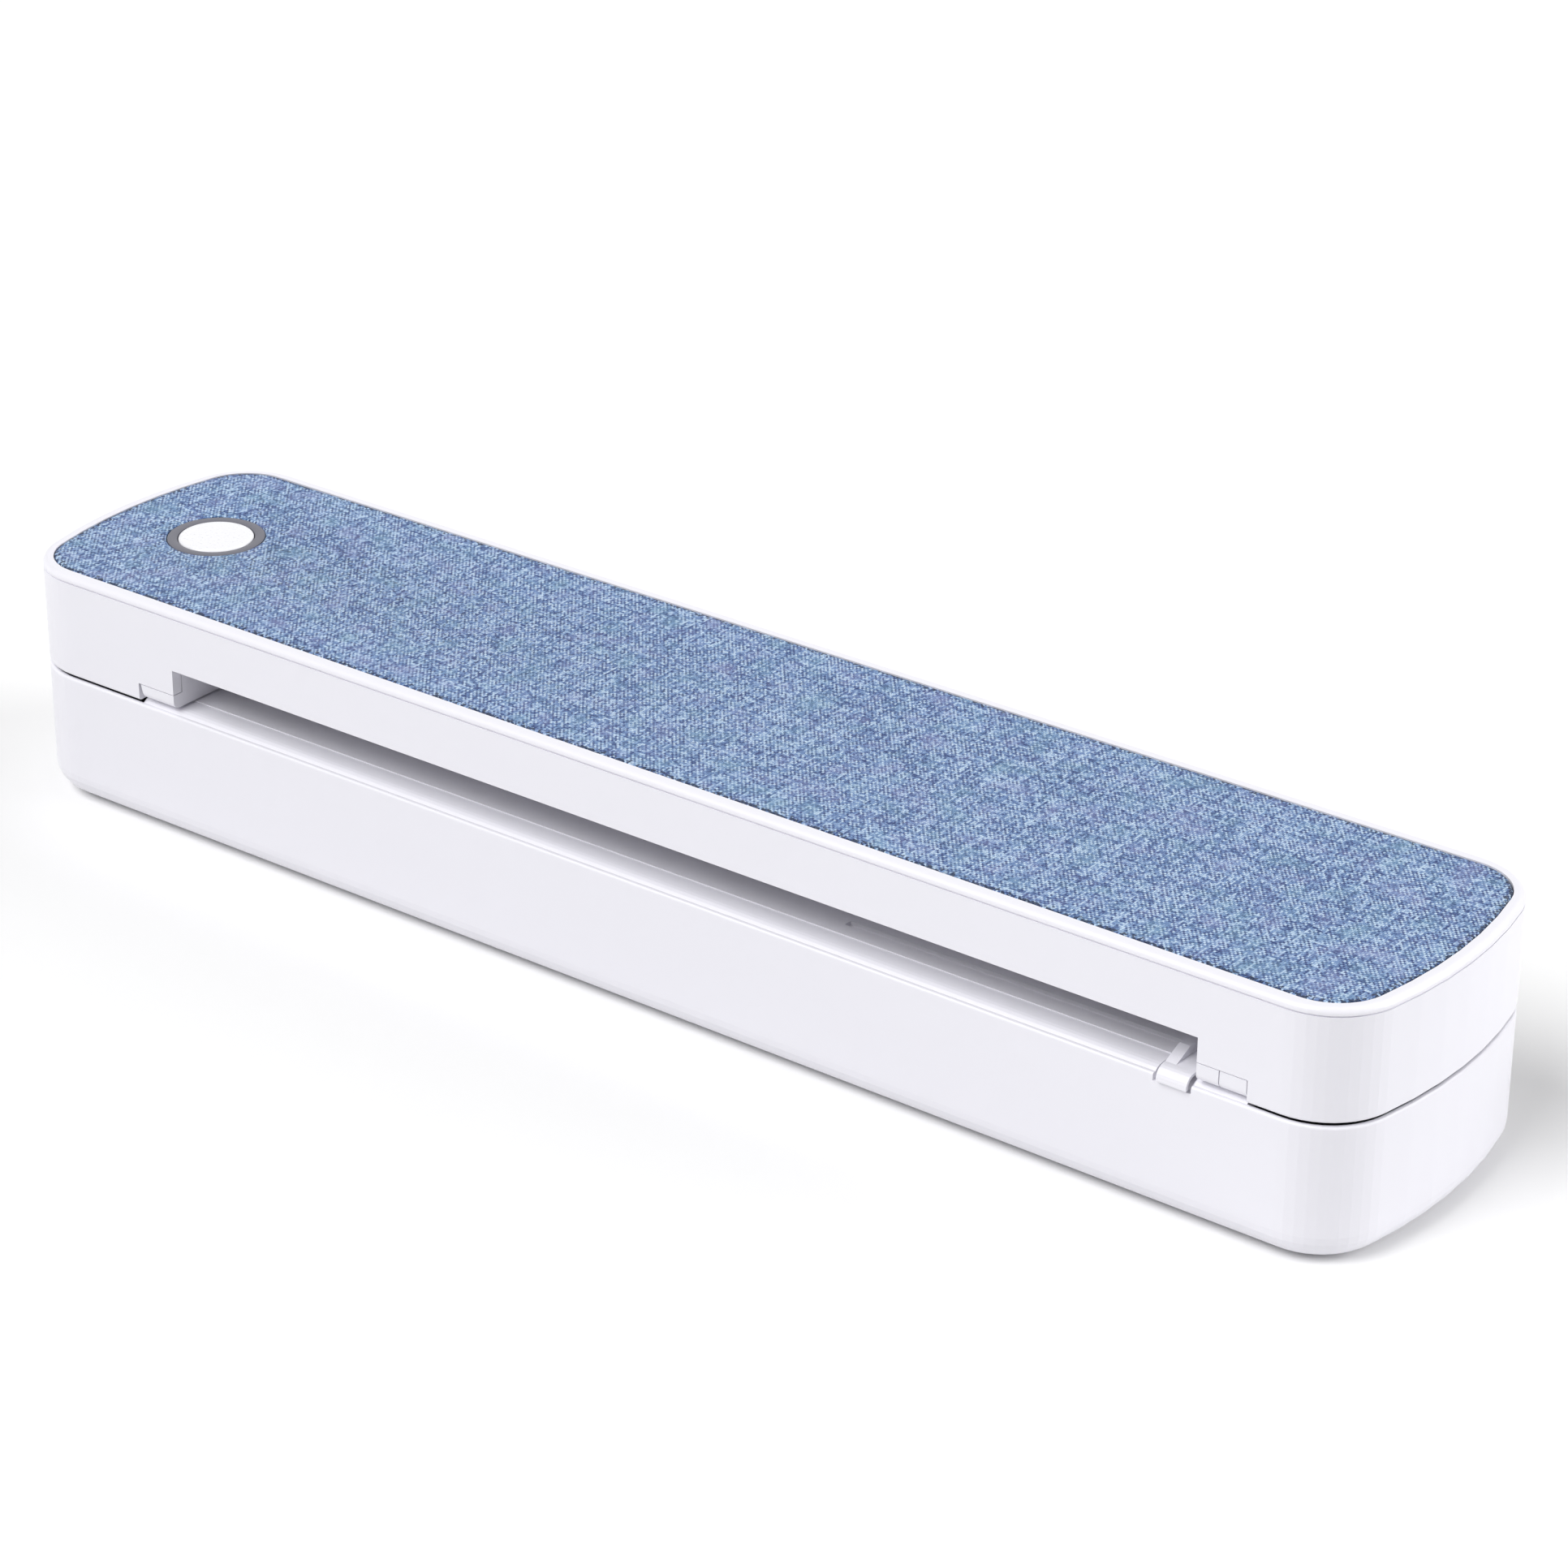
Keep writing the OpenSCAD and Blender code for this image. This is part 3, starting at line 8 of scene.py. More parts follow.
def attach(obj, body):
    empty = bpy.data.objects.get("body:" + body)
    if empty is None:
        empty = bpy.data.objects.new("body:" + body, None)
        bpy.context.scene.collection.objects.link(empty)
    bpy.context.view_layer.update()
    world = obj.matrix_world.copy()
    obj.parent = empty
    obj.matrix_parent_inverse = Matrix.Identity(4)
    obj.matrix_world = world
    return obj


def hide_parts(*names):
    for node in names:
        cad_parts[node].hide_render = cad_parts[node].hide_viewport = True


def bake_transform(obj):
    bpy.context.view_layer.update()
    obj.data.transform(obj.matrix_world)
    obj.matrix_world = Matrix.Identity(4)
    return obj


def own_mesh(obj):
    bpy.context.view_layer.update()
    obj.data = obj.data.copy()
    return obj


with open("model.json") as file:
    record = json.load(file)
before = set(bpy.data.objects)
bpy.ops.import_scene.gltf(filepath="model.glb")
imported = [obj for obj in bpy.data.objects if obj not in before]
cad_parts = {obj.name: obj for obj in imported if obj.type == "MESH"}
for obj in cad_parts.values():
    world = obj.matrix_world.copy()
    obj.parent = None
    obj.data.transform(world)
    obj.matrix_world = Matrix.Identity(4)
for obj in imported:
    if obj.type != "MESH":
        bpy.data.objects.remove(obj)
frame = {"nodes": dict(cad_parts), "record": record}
nodes = frame["nodes"]
scene = bpy.context.scene
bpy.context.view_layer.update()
mm = 0.001
sharpAngle = 32  # degrees; edges that fold more than this stay sharp
print("frame loaded:", len(nodes), "nodes")


# found from the perspective of the photograph
cameraView = {"place": (0.45069474, -0.58082460, 0.39666054), "azimuth": 37.059,
              "elevation": 26.326, "roll": 0.36, "lens": 105.43, "sensor": 36}


def addCamera(v):
    a, e, r = (math.radians(v[k]) for k in ("azimuth", "elevation", "roll"))
    back = Vector((math.sin(a) * math.cos(e), -math.cos(a) * math.cos(e), math.sin(e)))
    right = Vector((math.cos(a), math.sin(a), 0))
    up = back.cross(right)
    side = right * math.cos(r) + up * math.sin(r)
    above = up * math.cos(r) - right * math.sin(r)
    data = bpy.data.cameras.new("camera")
    data.lens, data.sensor_width = v["lens"], v["sensor"]
    data.clip_start, data.clip_end = 0.01, 60
    camera = bpy.data.objects.new("camera", data)
    scene.collection.objects.link(camera)
    turn = Matrix((side, above, back)).transposed().to_4x4()
    camera.matrix_world = Matrix.Translation(v["place"]) @ turn
    scene.camera = camera


addCamera(cameraView)
scene.view_settings.view_transform = "Standard"


def newMaterial(name):
    mat = bpy.data.materials.new(name)
    mat.use_nodes = True
    tree = mat.node_tree
    return mat, tree, tree.nodes["Principled BSDF"]


def srgb(r, g, b):
    # an 8-bit screen colour as the linear colour that the shader takes
    def one(c):
        c = c / 255
        return c / 12.92 if c <= 0.04045 else ((c + 0.055) / 1.055) ** 2.4
    return (one(r), one(g), one(b), 1)


def put(socket, value):
    # joins a node's socket to another one, or sets its number
    if isinstance(value, bpy.types.NodeSocket):
        socket.id_data.links.new(value, socket)
    else:
        socket.default_value = value


def calc(tree, kind, a, b=0.0, c=0.0):
    node = tree.nodes.new("ShaderNodeMath")
    node.operation = kind
    for socket, value in zip(node.inputs, (a, b, c)):
        put(socket, value)
    return node.outputs[0]


def noise(tree, where, size, detail=2.0, rough=0.5, output="Fac"):
    node = tree.nodes.new("ShaderNodeTexNoise")
    put(node.inputs["Vector"], where)
    node.inputs["Scale"].default_value = 1 / size
    node.inputs["Detail"].default_value = detail
    node.inputs["Roughness"].default_value = rough
    return node.outputs[output]


def ramp(tree, value, low, high, lowOut=0.0, highOut=1.0):
    node = tree.nodes.new("ShaderNodeMapRange")
    for socket, number in zip(node.inputs, (value, low, high, lowOut, highOut)):
        put(socket, number)
    return node.outputs[0]


def mixColour(tree, share, a, b):
    node = tree.nodes.new("ShaderNodeMix")
    node.data_type = "RGBA"
    put(node.inputs[0], share)
    put(node.inputs[6], a)
    put(node.inputs[7], b)
    return node.outputs[2]


def bump(tree, shader, height, depth, strength):
    node = tree.nodes.new("ShaderNodeBump")
    node.inputs["Strength"].default_value = strength
    node.inputs["Distance"].default_value = depth
    put(node.inputs["Height"], height)
    put(shader.inputs["Normal"], node.outputs[0])


def place(tree, stretch=(1, 1, 1)):
    # the point on the piece, in metres, stretched along each axis
    coords = tree.nodes.new("ShaderNodeTexCoord").outputs["Object"]
    if stretch == (1, 1, 1):
        return coords
    node = tree.nodes.new("ShaderNodeMapping")
    node.inputs["Scale"].default_value = stretch
    put(node.inputs["Vector"], coords)
    return node.outputs[0]


# moulded plastic: a fine grain, and tone and gloss that drift a little
def moulded(name, colour, rough=0.45, grain=0.0005, depth=0.00002, drift=0.03, coat=0.0):
    mat, tree, shader = newMaterial(name)
    where = place(tree)
    broad = noise(tree, where, 0.03, 2)
    fine = noise(tree, where, grain, 3, 0.6)
    darker = tuple(c * (1 - drift) for c in colour[:3]) + (1,)
    put(shader.inputs["Base Color"], mixColour(tree, broad, darker, colour))
    put(shader.inputs["Roughness"], ramp(tree, fine, 0.3, 0.7, rough - 0.05, rough + 0.05))
    shader.inputs["Coat Weight"].default_value = coat
    shader.inputs["Coat Roughness"].default_value = 0.2
    bump(tree, shader, fine, depth, 0.6)
    return mat


# bare metal with marks drawn out along one axis
def metal(name, colour, rough=0.3, brush=(1, 1, 1), depth=0.00002):
    mat, tree, shader = newMaterial(name)
    marks = noise(tree, place(tree, brush), 0.0006, 4, 0.6)
    broad = noise(tree, place(tree), 0.012, 2)
    darker = tuple(c * 0.88 for c in colour[:3]) + (1,)
    shader.inputs["Metallic"].default_value = 1
    put(shader.inputs["Base Color"], mixColour(tree, broad, darker, colour))
    put(shader.inputs["Roughness"], ramp(tree, marks, 0.25, 0.75, rough - 0.08, rough + 0.1))
    bump(tree, shader, marks, depth, 0.5)
    return mat


def rubber(name, colour, rough=0.75):
    mat, tree, shader = newMaterial(name)
    where = place(tree)
    speckle = noise(tree, where, 0.0004, 3, 0.7)
    lighter = tuple(min(1, c * 1.25 + 0.01) for c in colour[:3]) + (1,)
    put(shader.inputs["Base Color"], mixColour(tree, speckle, colour, lighter))
    shader.inputs["Roughness"].default_value = rough
    bump(tree, shader, speckle, 0.00003, 0.7)
    return mat


# solder mask with fine copper tracks under it
tracks = {"cellScale": 700, "lines": 14, "edge": (0.35, 0.55), "patchSize": 0.009,
          "patchEdge": (0.46, 0.5), "paler": 1.7}


def circuitBoard(name, colour, t=tracks):
    mat, tree, shader = newMaterial(name)
    where = place(tree)
    cells = tree.nodes.new("ShaderNodeTexVoronoi")
    cells.feature, cells.distance = "F1", "MANHATTAN"
    cells.inputs["Scale"].default_value = t["cellScale"]
    put(cells.inputs["Vector"], where)
    wave = calc(tree, "SINE", calc(tree, "MULTIPLY", cells.outputs["Distance"], t["lines"]))
    track = ramp(tree, wave, *t["edge"])
    patch = ramp(tree, noise(tree, where, t["patchSize"], 1), *t["patchEdge"])
    lighter = tuple(min(1, c * t["paler"]) for c in colour[:3]) + (1,)
    lines = calc(tree, "MULTIPLY", track, patch)
    put(shader.inputs["Base Color"], mixColour(tree, lines, colour, lighter))
    shader.inputs["Roughness"].default_value = 0.35
    bump(tree, shader, lines, 0.00002, 0.6)
    return mat


# yarn colours, and the colours of the painted shade between threads and of the painted shadow line
# at the rim, as screen colours; pitches and lengths in millimetres
weave = {"light": (204, 228, 252), "mid": (116, 150, 202), "dark": (40, 66, 124),
         "cool": (126, 172, 196), "warm": (150, 154, 206), "gapShade": (40, 58, 98), "ends": (22, 36, 66),
         "pitchX": 0.42, "pitchY": 0.523, "depth": 0.14, "sway": 0.2, "swaySize": 6.25,
         "fleck": 1.0, "dash": 2.0, "slubY": 7, "slubX": 12, "drift": 7, "rimShadowBreakSize": 0.8,
         "parity": 0.46, "fleckShare": 0.7, "dashShare": 1.35, "slubShare": 0.55,
         "hueShare": 0.4, "gapShadeShare": 0.3, "rimShadowShare": 0.9}


# twill of mixed yarns: light and dark flecks, longer slubs, and a hue that drifts
def wovenBlue(w):
    mat, tree, shader = newMaterial("blueWeave")
    where = place(tree)
    apart = tree.nodes.new("ShaderNodeSeparateXYZ")
    put(apart.inputs[0], where)
    # no thread lies quite straight
    sway = tree.nodes.new("ShaderNodeSeparateXYZ")
    put(sway.inputs[0], noise(tree, where, w["swaySize"] * mm, output="Color"))
    x, y = (calc(tree, "MULTIPLY_ADD", sway.outputs[k], w["sway"] * mm, apart.outputs[k])
            for k in (0, 1))
    u = calc(tree, "MULTIPLY", x, 1 / (w["pitchX"] * mm))
    v = calc(tree, "MULTIPLY", y, 1 / (w["pitchY"] * mm))
    i, j = calc(tree, "FLOOR", u), calc(tree, "FLOOR", v)
    # 1 where the thread along Y is on top, 0 where the one along X is
    warpUp = calc(tree, "FLOORED_MODULO", calc(tree, "ADD", i, j), 2.0)
    crossU = calc(tree, "SINE", calc(tree, "MULTIPLY", calc(tree, "FRACT", u), math.pi))
    crossV = calc(tree, "SINE", calc(tree, "MULTIPLY", calc(tree, "FRACT", v), math.pi))
    height = calc(tree, "POWER", calc(tree, "MULTIPLY", crossU, crossV), 0.6)

    def yarn(number, along, length, offset):
        # each thread's own tone, which changes along it over the length
        vector = tree.nodes.new("ShaderNodeCombineXYZ")
        put(vector.inputs[0], calc(tree, "MULTIPLY_ADD", number, 7.31, offset))
        put(vector.inputs[1], calc(tree, "DIVIDE", along, length * mm))
        return ramp(tree, noise(tree, vector.outputs[0], 1.0, 2, 0.6), 0.3, 0.7, -0.5, 0.5)

    def pick(warp, weft):
        # the value of whichever thread is on top
        return calc(tree, "MULTIPLY_ADD", warpUp, calc(tree, "SUBTRACT", warp, weft), weft)

    fleck = pick(yarn(i, y, w["fleck"], 0.0), yarn(j, x, w["fleck"], 31.7))
    # the twill's ribs run across both threads
    dash = yarn(calc(tree, "ADD", i, j), calc(tree, "SUBTRACT", x, y), w["dash"], 11.3)
    slub = calc(tree, "ADD", yarn(i, y, w["slubY"], 57.1),
                calc(tree, "MULTIPLY", yarn(j, x, w["slubX"], 83.9), 0.7))
    tone = calc(tree, "MULTIPLY_ADD", fleck, w["fleckShare"], 0.5 - w["parity"] / 2)
    tone = calc(tree, "MULTIPLY_ADD", dash, w["dashShare"], tone)
    tone = calc(tree, "MULTIPLY_ADD", slub, w["slubShare"], tone)
    tone = calc(tree, "MULTIPLY_ADD", warpUp, w["parity"], tone)
    darker = mixColour(tree, ramp(tree, tone, 0.0, 0.5), srgb(*w["dark"]), srgb(*w["mid"]))
    colour = mixColour(tree, ramp(tree, tone, 0.5, 1.0), darker, srgb(*w["light"]))
    # patches that lean to cyan or to violet
    hue = noise(tree, where, w["drift"] * mm, 3, 0.6)
    cool = ramp(tree, hue, 0.52, 0.72, 0.0, w["hueShare"])
    colour = mixColour(tree, cool, colour, srgb(*w["cool"]))
    warm = ramp(tree, hue, 0.48, 0.28, 0.0, w["hueShare"])
    colour = mixColour(tree, warm, colour, srgb(*w["warm"]))
    # painted shade: where the thread's sides lie deeper, the colour is mixed towards a dark shade
    # colour
    gapShade = ramp(tree, height, 0.0, 0.7, w["gapShadeShare"], 0.0)
    colour = mixColour(tree, gapShade, colour, srgb(*w["gapShade"]))
    # painted shadow line where the cloth meets the rim, broken into dashes by noise
    rim = tree.nodes.new("ShaderNodeAttribute")
    rim.attribute_name = "rim"
    rimShadowBreak = ramp(tree, noise(tree, where, w["rimShadowBreakSize"] * mm), 0.35, 0.65, -0.5, 0.5)
    ragged = calc(tree, "ADD", rim.outputs["Fac"], rimShadowBreak)
    ends = ramp(tree, ragged, 0.6, 0.85, 0.0, w["rimShadowShare"])
    colour = mixColour(tree, ends, colour, srgb(*w["ends"]))
    put(shader.inputs["Base Color"], colour)
    shader.inputs["Roughness"].default_value = 0.85
    shader.inputs["Sheen Weight"].default_value = 0.2
    shader.inputs["Sheen Roughness"].default_value = 0.5
    shader.inputs["Specular IOR Level"].default_value = 0.2
    bump(tree, shader, height, w["depth"] * mm, 0.8)
    return mat


# moulded: colour, roughness, grain size and depth in metres, drift of tone, clear coat;
# metal: colour, roughness and the axis along which its marks are drawn out
finishes = {
    "shell_white": moulded("shellWhite", srgb(240, 239, 246), 0.34, 0.0006, 0.00001, 0.01, 0.1),
    "deck_white": moulded("deckWhite", srgb(239, 238, 244), 0.5, 0.0006, 0.00002, 0.01),
    "blue_weave": wovenBlue(weave),
    "backing": moulded("backing", srgb(196, 186, 168), 0.8, 0.0004, 0.00005, 0.1),
    "ring_grey": moulded("ringGrey", srgb(104, 104, 114), 0.4, 0.0004, 0.00001, 0.04),
    "button_white": moulded("buttonWhite", srgb(246, 246, 250), 0.3, 0.0006, 0.00001, 0.01, 0.2),
    "black_rubber": rubber("blackRubber", srgb(32, 32, 35)),
    "foot_rubber": rubber("footRubber", srgb(92, 92, 97)),
    "zinc_steel": metal("zincSteel", srgb(190, 192, 198), 0.32, (1, 0.1, 1)),
    "spring_steel": metal("springSteel", srgb(168, 170, 176), 0.28, (1, 1, 0.2)),
    "motor_can": metal("motorCan", srgb(200, 202, 206), 0.26, (0.1, 1, 1)),
    "gear_plastic": moulded("gearPlastic", srgb(230, 230, 224), 0.4, 0.0004),
    "bushing_plastic": moulded("bushingPlastic", srgb(206, 196, 160), 0.45, 0.0004),
    "pinion_brass": metal("pinionBrass", srgb(214, 176, 92), 0.25, (0.1, 1, 1)),
    "dark_plastic": moulded("darkPlastic", srgb(48, 48, 53), 0.55, 0.0004, 0.00003, 0.1),
    "cell_sleeve": moulded("cellSleeve", srgb(72, 128, 186), 0.22, 0.0008, 0.00001, 0.04, 0.4),
    "lead_red": moulded("leadRed", srgb(186, 32, 30), 0.4, 0.0004),
    "lead_grey": moulded("leadGrey", srgb(208, 208, 210), 0.45, 0.0004),
    "cable_black": moulded("cableBlack", srgb(44, 44, 48), 0.5, 0.0004, 0.00002, 0.1),
    "board_green": circuitBoard("boardGreen", srgb(26, 98, 54)),
    "chip_black": moulded("chipBlack", srgb(30, 30, 32), 0.6, 0.0002, 0.00002, 0.1),
    "socket_ivory": moulded("socketIvory", srgb(234, 229, 212), 0.5, 0.0004),
    "sink_aluminium": metal("sinkAluminium", srgb(206, 208, 212), 0.36, (0.05, 1, 1)),
    "ceramic_white": moulded("ceramicWhite", srgb(226, 222, 212), 0.25, 0.0005, 0.00001, coat=0.3),
}
slotOf = {s["node"]: s["material_slot"] for s in frame["record"]["subparts"]}
for name, node in nodes.items():
    node.data.materials.clear()
    node.data.materials.append(finishes[slotOf[name]])
print("materials:", len(finishes))


# rounded over a little, as moulded and pressed edges are; widths in millimetres
softEdges = {"case": 0.22, "cover": 0.12, "trim_ring": 0.12, "cover_frame": 0.1, "deck": 0.04,
             "width_guide": 0.12, "battery_tray": 0.2, "heat_sink": 0.15, "side_frame_left": 0.15,
             "side_frame_right": 0.15, "motor_bracket": 0.15, "motor": 0.3, "main_board": 0.1,
             "button_board": 0.1, "charging_socket": 0.1, "head_ceramic": 0.1}
flatAngle = 0.6  # degrees; faces that fold less than this are joined


def softenEdges(node, width):
    flat = node.modifiers.new("cleanFlats", "DECIMATE")
    flat.decimate_type = "DISSOLVE"
    flat.angle_limit = math.radians(flatAngle)
    edge = node.modifiers.new("softEdges", "BEVEL")
    edge.width = width * mm
    edge.segments = 3
    edge.limit_method = "ANGLE"
    edge.angle_limit = math.radians(sharpAngle)
    edge.harden_normals = True
    edge.use_clamp_overlap = True


def shadeSmooth(obj, angle=sharpAngle):
    for face in obj.data.polygons:
        face.use_smooth = True
    obj.data.set_sharp_from_angle(angle=math.radians(angle))


for name, node in nodes.items():
    if node.data.has_custom_normals:
        bpy.context.view_layer.objects.active = node
        bpy.ops.mesh.customdata_custom_splitnormals_clear()
    shadeSmooth(node)
    if name in softEdges:
        softenEdges(node, softEdges[name])
print("edges rounded:", len(softEdges))


def addPiece(name, points, faces, slotName, body, angle):
    mesh = bpy.data.meshes.new(name)
    mesh.from_pydata([tuple(p) for p in points], [], faces)
    piece = bpy.data.objects.new(name, mesh)
    scene.collection.objects.link(piece)
    bm = bmesh.new()
    bm.from_mesh(mesh)
    bmesh.ops.recalc_face_normals(bm, faces=bm.faces)
    bm.to_mesh(mesh)
    bm.free()
    mesh.materials.append(finishes[slotName])
    shadeSmooth(piece, angle)
    if body:
        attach(piece, body)
    return piece


def arc(cx, cy, r, a0, a1, count):
    turns = (math.radians(a0 + (a1 - a0) * k / count) for k in range(count + 1))
    return [(cx + r * math.cos(a), cy + r * math.sin(a)) for a in turns]


# a rounded edge: at each angle, how far it has gone inwards and how far it is below the top
def roundOver(radius, angles):
    turns = [(a, math.radians(a)) for a in angles]
    return [(a, radius * (1 - math.cos(t)), radius * (1 - math.sin(t))) for a, t in turns]


bodyShape = {"length": 300, "depth": 62.5, "bow": 2, "cornerSteps": 24, "bowSteps": 24}


# the body's outline drawn in by inset, in millimetres
def outline(inset, radius, b=bodyShape):
    cy = b["depth"] / 2 - inset - radius
    bowC = (cy * cy + b["bow"] ** 2) / (2 * b["bow"])
    a = math.degrees(math.asin(cy / bowC))
    cx = b["length"] / 2 - inset - radius - b["bow"]
    bowX = b["length"] / 2 - inset - radius - bowC
    half = (arc(cx, -cy, radius, -90, -a, b["cornerSteps"])
            + arc(bowX, 0, bowC + radius, -a, a, b["bowSteps"])[1:-1]
            + arc(cx, cy, radius, a, 90, b["cornerSteps"]))
    return half + [(-px, -py) for px, py in half]


# turns a profile of (radius, height) pairs in millimetres round a vertical axis
def lathe(name, profile, centre, slotName, body, steps=96, angle=40):
    points, faces, rings = [], [], []
    for r, z in profile:
        if r == 0:
            rings.append([len(points)])
            points.append((centre[0] * mm, centre[1] * mm, z * mm))
        else:
            rings.append(list(range(len(points), len(points) + steps)))
            points += [((centre[0] + px) * mm, (centre[1] + py) * mm, z * mm)
                       for px, py in arc(0, 0, r, 0, 360, steps)[:-1]]
    for a, b in zip(rings, rings[1:]):
        for k in range(steps):
            n = (k + 1) % steps
            quad = [a[k % len(a)], a[n % len(a)], b[n % len(b)], b[k % len(b)]]
            face = [q for m, q in enumerate(quad) if q not in quad[:m]]
            if len(face) > 2:
                faces.append(face)
    return addPiece(name, points, faces, slotName, body, angle)


# a smooth line through the points p
def curveThrough(p, steps):
    last, line = len(p) - 1, []
    for k in range(steps * last + 1):
        i = min(k // steps, last - 1)
        u = k / steps - i
        a, b, c, d = (Vector(p[max(0, min(n, last))]) for n in (i - 1, i, i + 1, i + 2))
        line.append((2 * b + (c - a) * u + (2 * a - 5 * b + 4 * c - d) * u * u
                     + (3 * b - a - 3 * c + d) * u ** 3) / 2)
    return line


# a round tube with closed ends along a line
def tubeAlong(name, line, radius, slotName, body, sides=16, angle=50):
    ways = [(line[min(k + 1, len(line) - 1)] - line[max(k - 1, 0)]).normalized()
            for k in range(len(line))]
    start = Vector((0, 0, 1)) if abs(ways[0].z) < 0.9 else Vector((1, 0, 0))
    side = ways[0].cross(start).normalized()
    points, faces = [], []
    for p, way in zip(line, ways):
        side = (side - way * side.dot(way)).normalized()
        other = way.cross(side)
        points += [(p + side * (radius * math.cos(a)) + other * (radius * math.sin(a))) * mm
                   for a in (2 * math.pi * k / sides for k in range(sides))]
    for i in range(len(line) - 1):
        for k in range(sides):
            n = (k + 1) % sides
            faces.append((i * sides + k, i * sides + n, (i + 1) * sides + n, (i + 1) * sides + k))
    faces.append(tuple(range(sides)))
    faces.append(tuple(range(len(points) - sides, len(points))))
    return addPiece(name, points, faces, slotName, body, angle)


# the woven top is cloth drawn tight over the panel board and tucked in at the rim; the tags say how
# strongly the painted shadow line between cloth and rim shows, from 1 at its side to 0.1 on the flat
cloth = {"inset": 2.46, "radius": 10.4, "low": 46.7, "top": 48.1, "round": 0.5, "skin": 0.8,
         "edgeAngles": (0, 18, 36, 54, 72, 90), "flatRings": (0.3, 0.7, 1.2), "topTag": 0.7,
         "tagFall": 0.5, "buttonX": -124.8, "holeR": 9.5, "holeRound": 0.4,
         "holeAngles": (0, 30, 60, 90), "holeTag": 0.3, "holeSteps": 96}


def addCloth(c):
    points, faces, tagged = [], [], []

    def row(flat, z, rim):
        start = len(points)
        points.extend((x * mm, y * mm, z * mm) for x, y in flat)
        tagged.extend([rim] * len(flat))
        return list(range(start, start + len(flat)))

    def band(a, b):
        for k in range(len(a)):
            n = (k + 1) % len(a)
            faces.append((a[k], a[n], b[n], b[k]))

    def circle(r):
        return [(c["buttonX"] + x, y) for x, y in arc(0, 0, r, 0, 360, c["holeSteps"])[:-1]]

    # outer side, round edge and the flat top's first rings
    levels = [(c["inset"] + c["skin"], c["low"], 1.0), (c["inset"], c["low"], 1.0)]
    levels += [(c["inset"] + inwards, c["top"] - down, 1 - (1 - c["topTag"]) * a / 90)
               for a, inwards, down in roundOver(c["round"], c["edgeAngles"])]
    levels += [(c["inset"] + c["round"] + d, c["top"], c["topTag"] - c["tagFall"] * d)
               for d in c["flatRings"]]
    outer = [row(outline(i, c["radius"] + c["inset"] - i), z, rim) for i, z, rim in levels]
    for a, b in zip(outer, outer[1:]):
        band(a, b)
    holeLevels = [(c["holeR"], c["low"])]
    holeLevels += [(c["holeR"] + inwards, c["top"] - down)
                   for a, inwards, down in roundOver(c["holeRound"], c["holeAngles"])]
    hole = [row(circle(r), z, c["holeTag"]) for r, z in holeLevels]
    for a, b in zip(hole, hole[1:]):
        band(a, b)
    mesh = bpy.data.meshes.new("wovenTop")
    mesh.from_pydata(points, [], faces)
    bm = bmesh.new()
    bm.from_mesh(mesh)
    bm.verts.ensure_lookup_table()
    rimLayer = bm.verts.layers.float.new("rim")
    for vert, value in zip(bm.verts, tagged):
        vert[rimLayer] = value
    # the flat between the outer rings and the hole's
    edges = []
    for loop in (outer[-1], hole[-1]):
        corners = [bm.verts[k] for k in loop]
        edges += [bm.edges.get(pair) for pair in zip(corners, corners[1:] + corners[:1])]
    bmesh.ops.triangle_fill(bm, edges=edges, use_beauty=True, normal=(0, 0, 1))
    bmesh.ops.recalc_face_normals(bm, faces=bm.faces)
    bm.to_mesh(mesh)
    bm.free()
    piece = bpy.data.objects.new("wovenTop", mesh)
    scene.collection.objects.link(piece)
    mesh.materials.append(finishes["blue_weave"])
    shadeSmooth(piece, 60)
    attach(piece, "cover")
    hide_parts("fabric")
    return piece


wovenTop = addCloth(cloth)
print("woven top done")


# the cap's top is a shallow dish, given at shares of its flat radius
button = {"x": -124.8, "r": 7.25, "flangeR": 7.85, "low": 43.8, "flangeTop": 44.8, "top": 48.1,
          "round": 0.5, "edgeAngles": (0, 20, 40, 60, 80), "dish": 0.08,
          "dishShares": (0.97, 0.8, 0.6, 0.4, 0.2, 0)}


def addButton(b):
    profile = [(0, b["low"]), (b["flangeR"], b["low"]), (b["flangeR"], b["flangeTop"]),
               (b["r"], b["flangeTop"])]
    profile += [(b["r"] - inwards, b["top"] - down)
                for a, inwards, down in roundOver(b["round"], b["edgeAngles"])]
    flat = b["r"] - b["round"]
    profile += [(flat * s, b["top"] - b["dish"] * (1 - s * s)) for s in b["dishShares"]]
    piece = lathe("powerButtonCap", profile, (b["x"], 0), "button_white", "button")
    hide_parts("power_button")


# its two top edges are eased: steps away from the edge and down from the top
ring = {"x": -124.8, "r": 9.4, "bore": 7.4, "flangeR": 10.2, "low": 43.3, "flangeTop": 44.3,
        "top": 48.0, "wellR": 8.15, "wellTop": 44.9,
        "outerEase": ((0, 0.25), (0.08, 0.07), (0.25, 0)),
        "boreEase": ((0.25, 0.05), (0.06, 0.12), (0, 0.35))}


def addRing(q):
    profile = [(q["wellR"], q["low"]), (q["flangeR"], q["low"]), (q["flangeR"], q["flangeTop"]),
               (q["r"], q["flangeTop"])]
    profile += [(q["r"] - inwards, q["top"] - down) for inwards, down in q["outerEase"]]
    profile += [(q["bore"] + outwards, q["top"] - down) for outwards, down in q["boreEase"]]
    profile += [(q["bore"], q["wellTop"]), (q["wellR"], q["wellTop"]), (q["wellR"], q["low"])]
    piece = lathe("lightRingTrim", profile, (q["x"], 0), "ring_grey", "cover")
    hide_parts("light_ring")


addButton(button)
addRing(ring)


# a moulded rubber pad with a rounded sole and a shallow dish
foot = {"x": 124, "y": 18, "r": 5, "top": 1.4, "round": 0.35, "edgeAngles": (30, 60, 90),
        "dishR": 3.2, "dish": 0.2, "dishSlope": 0.3}


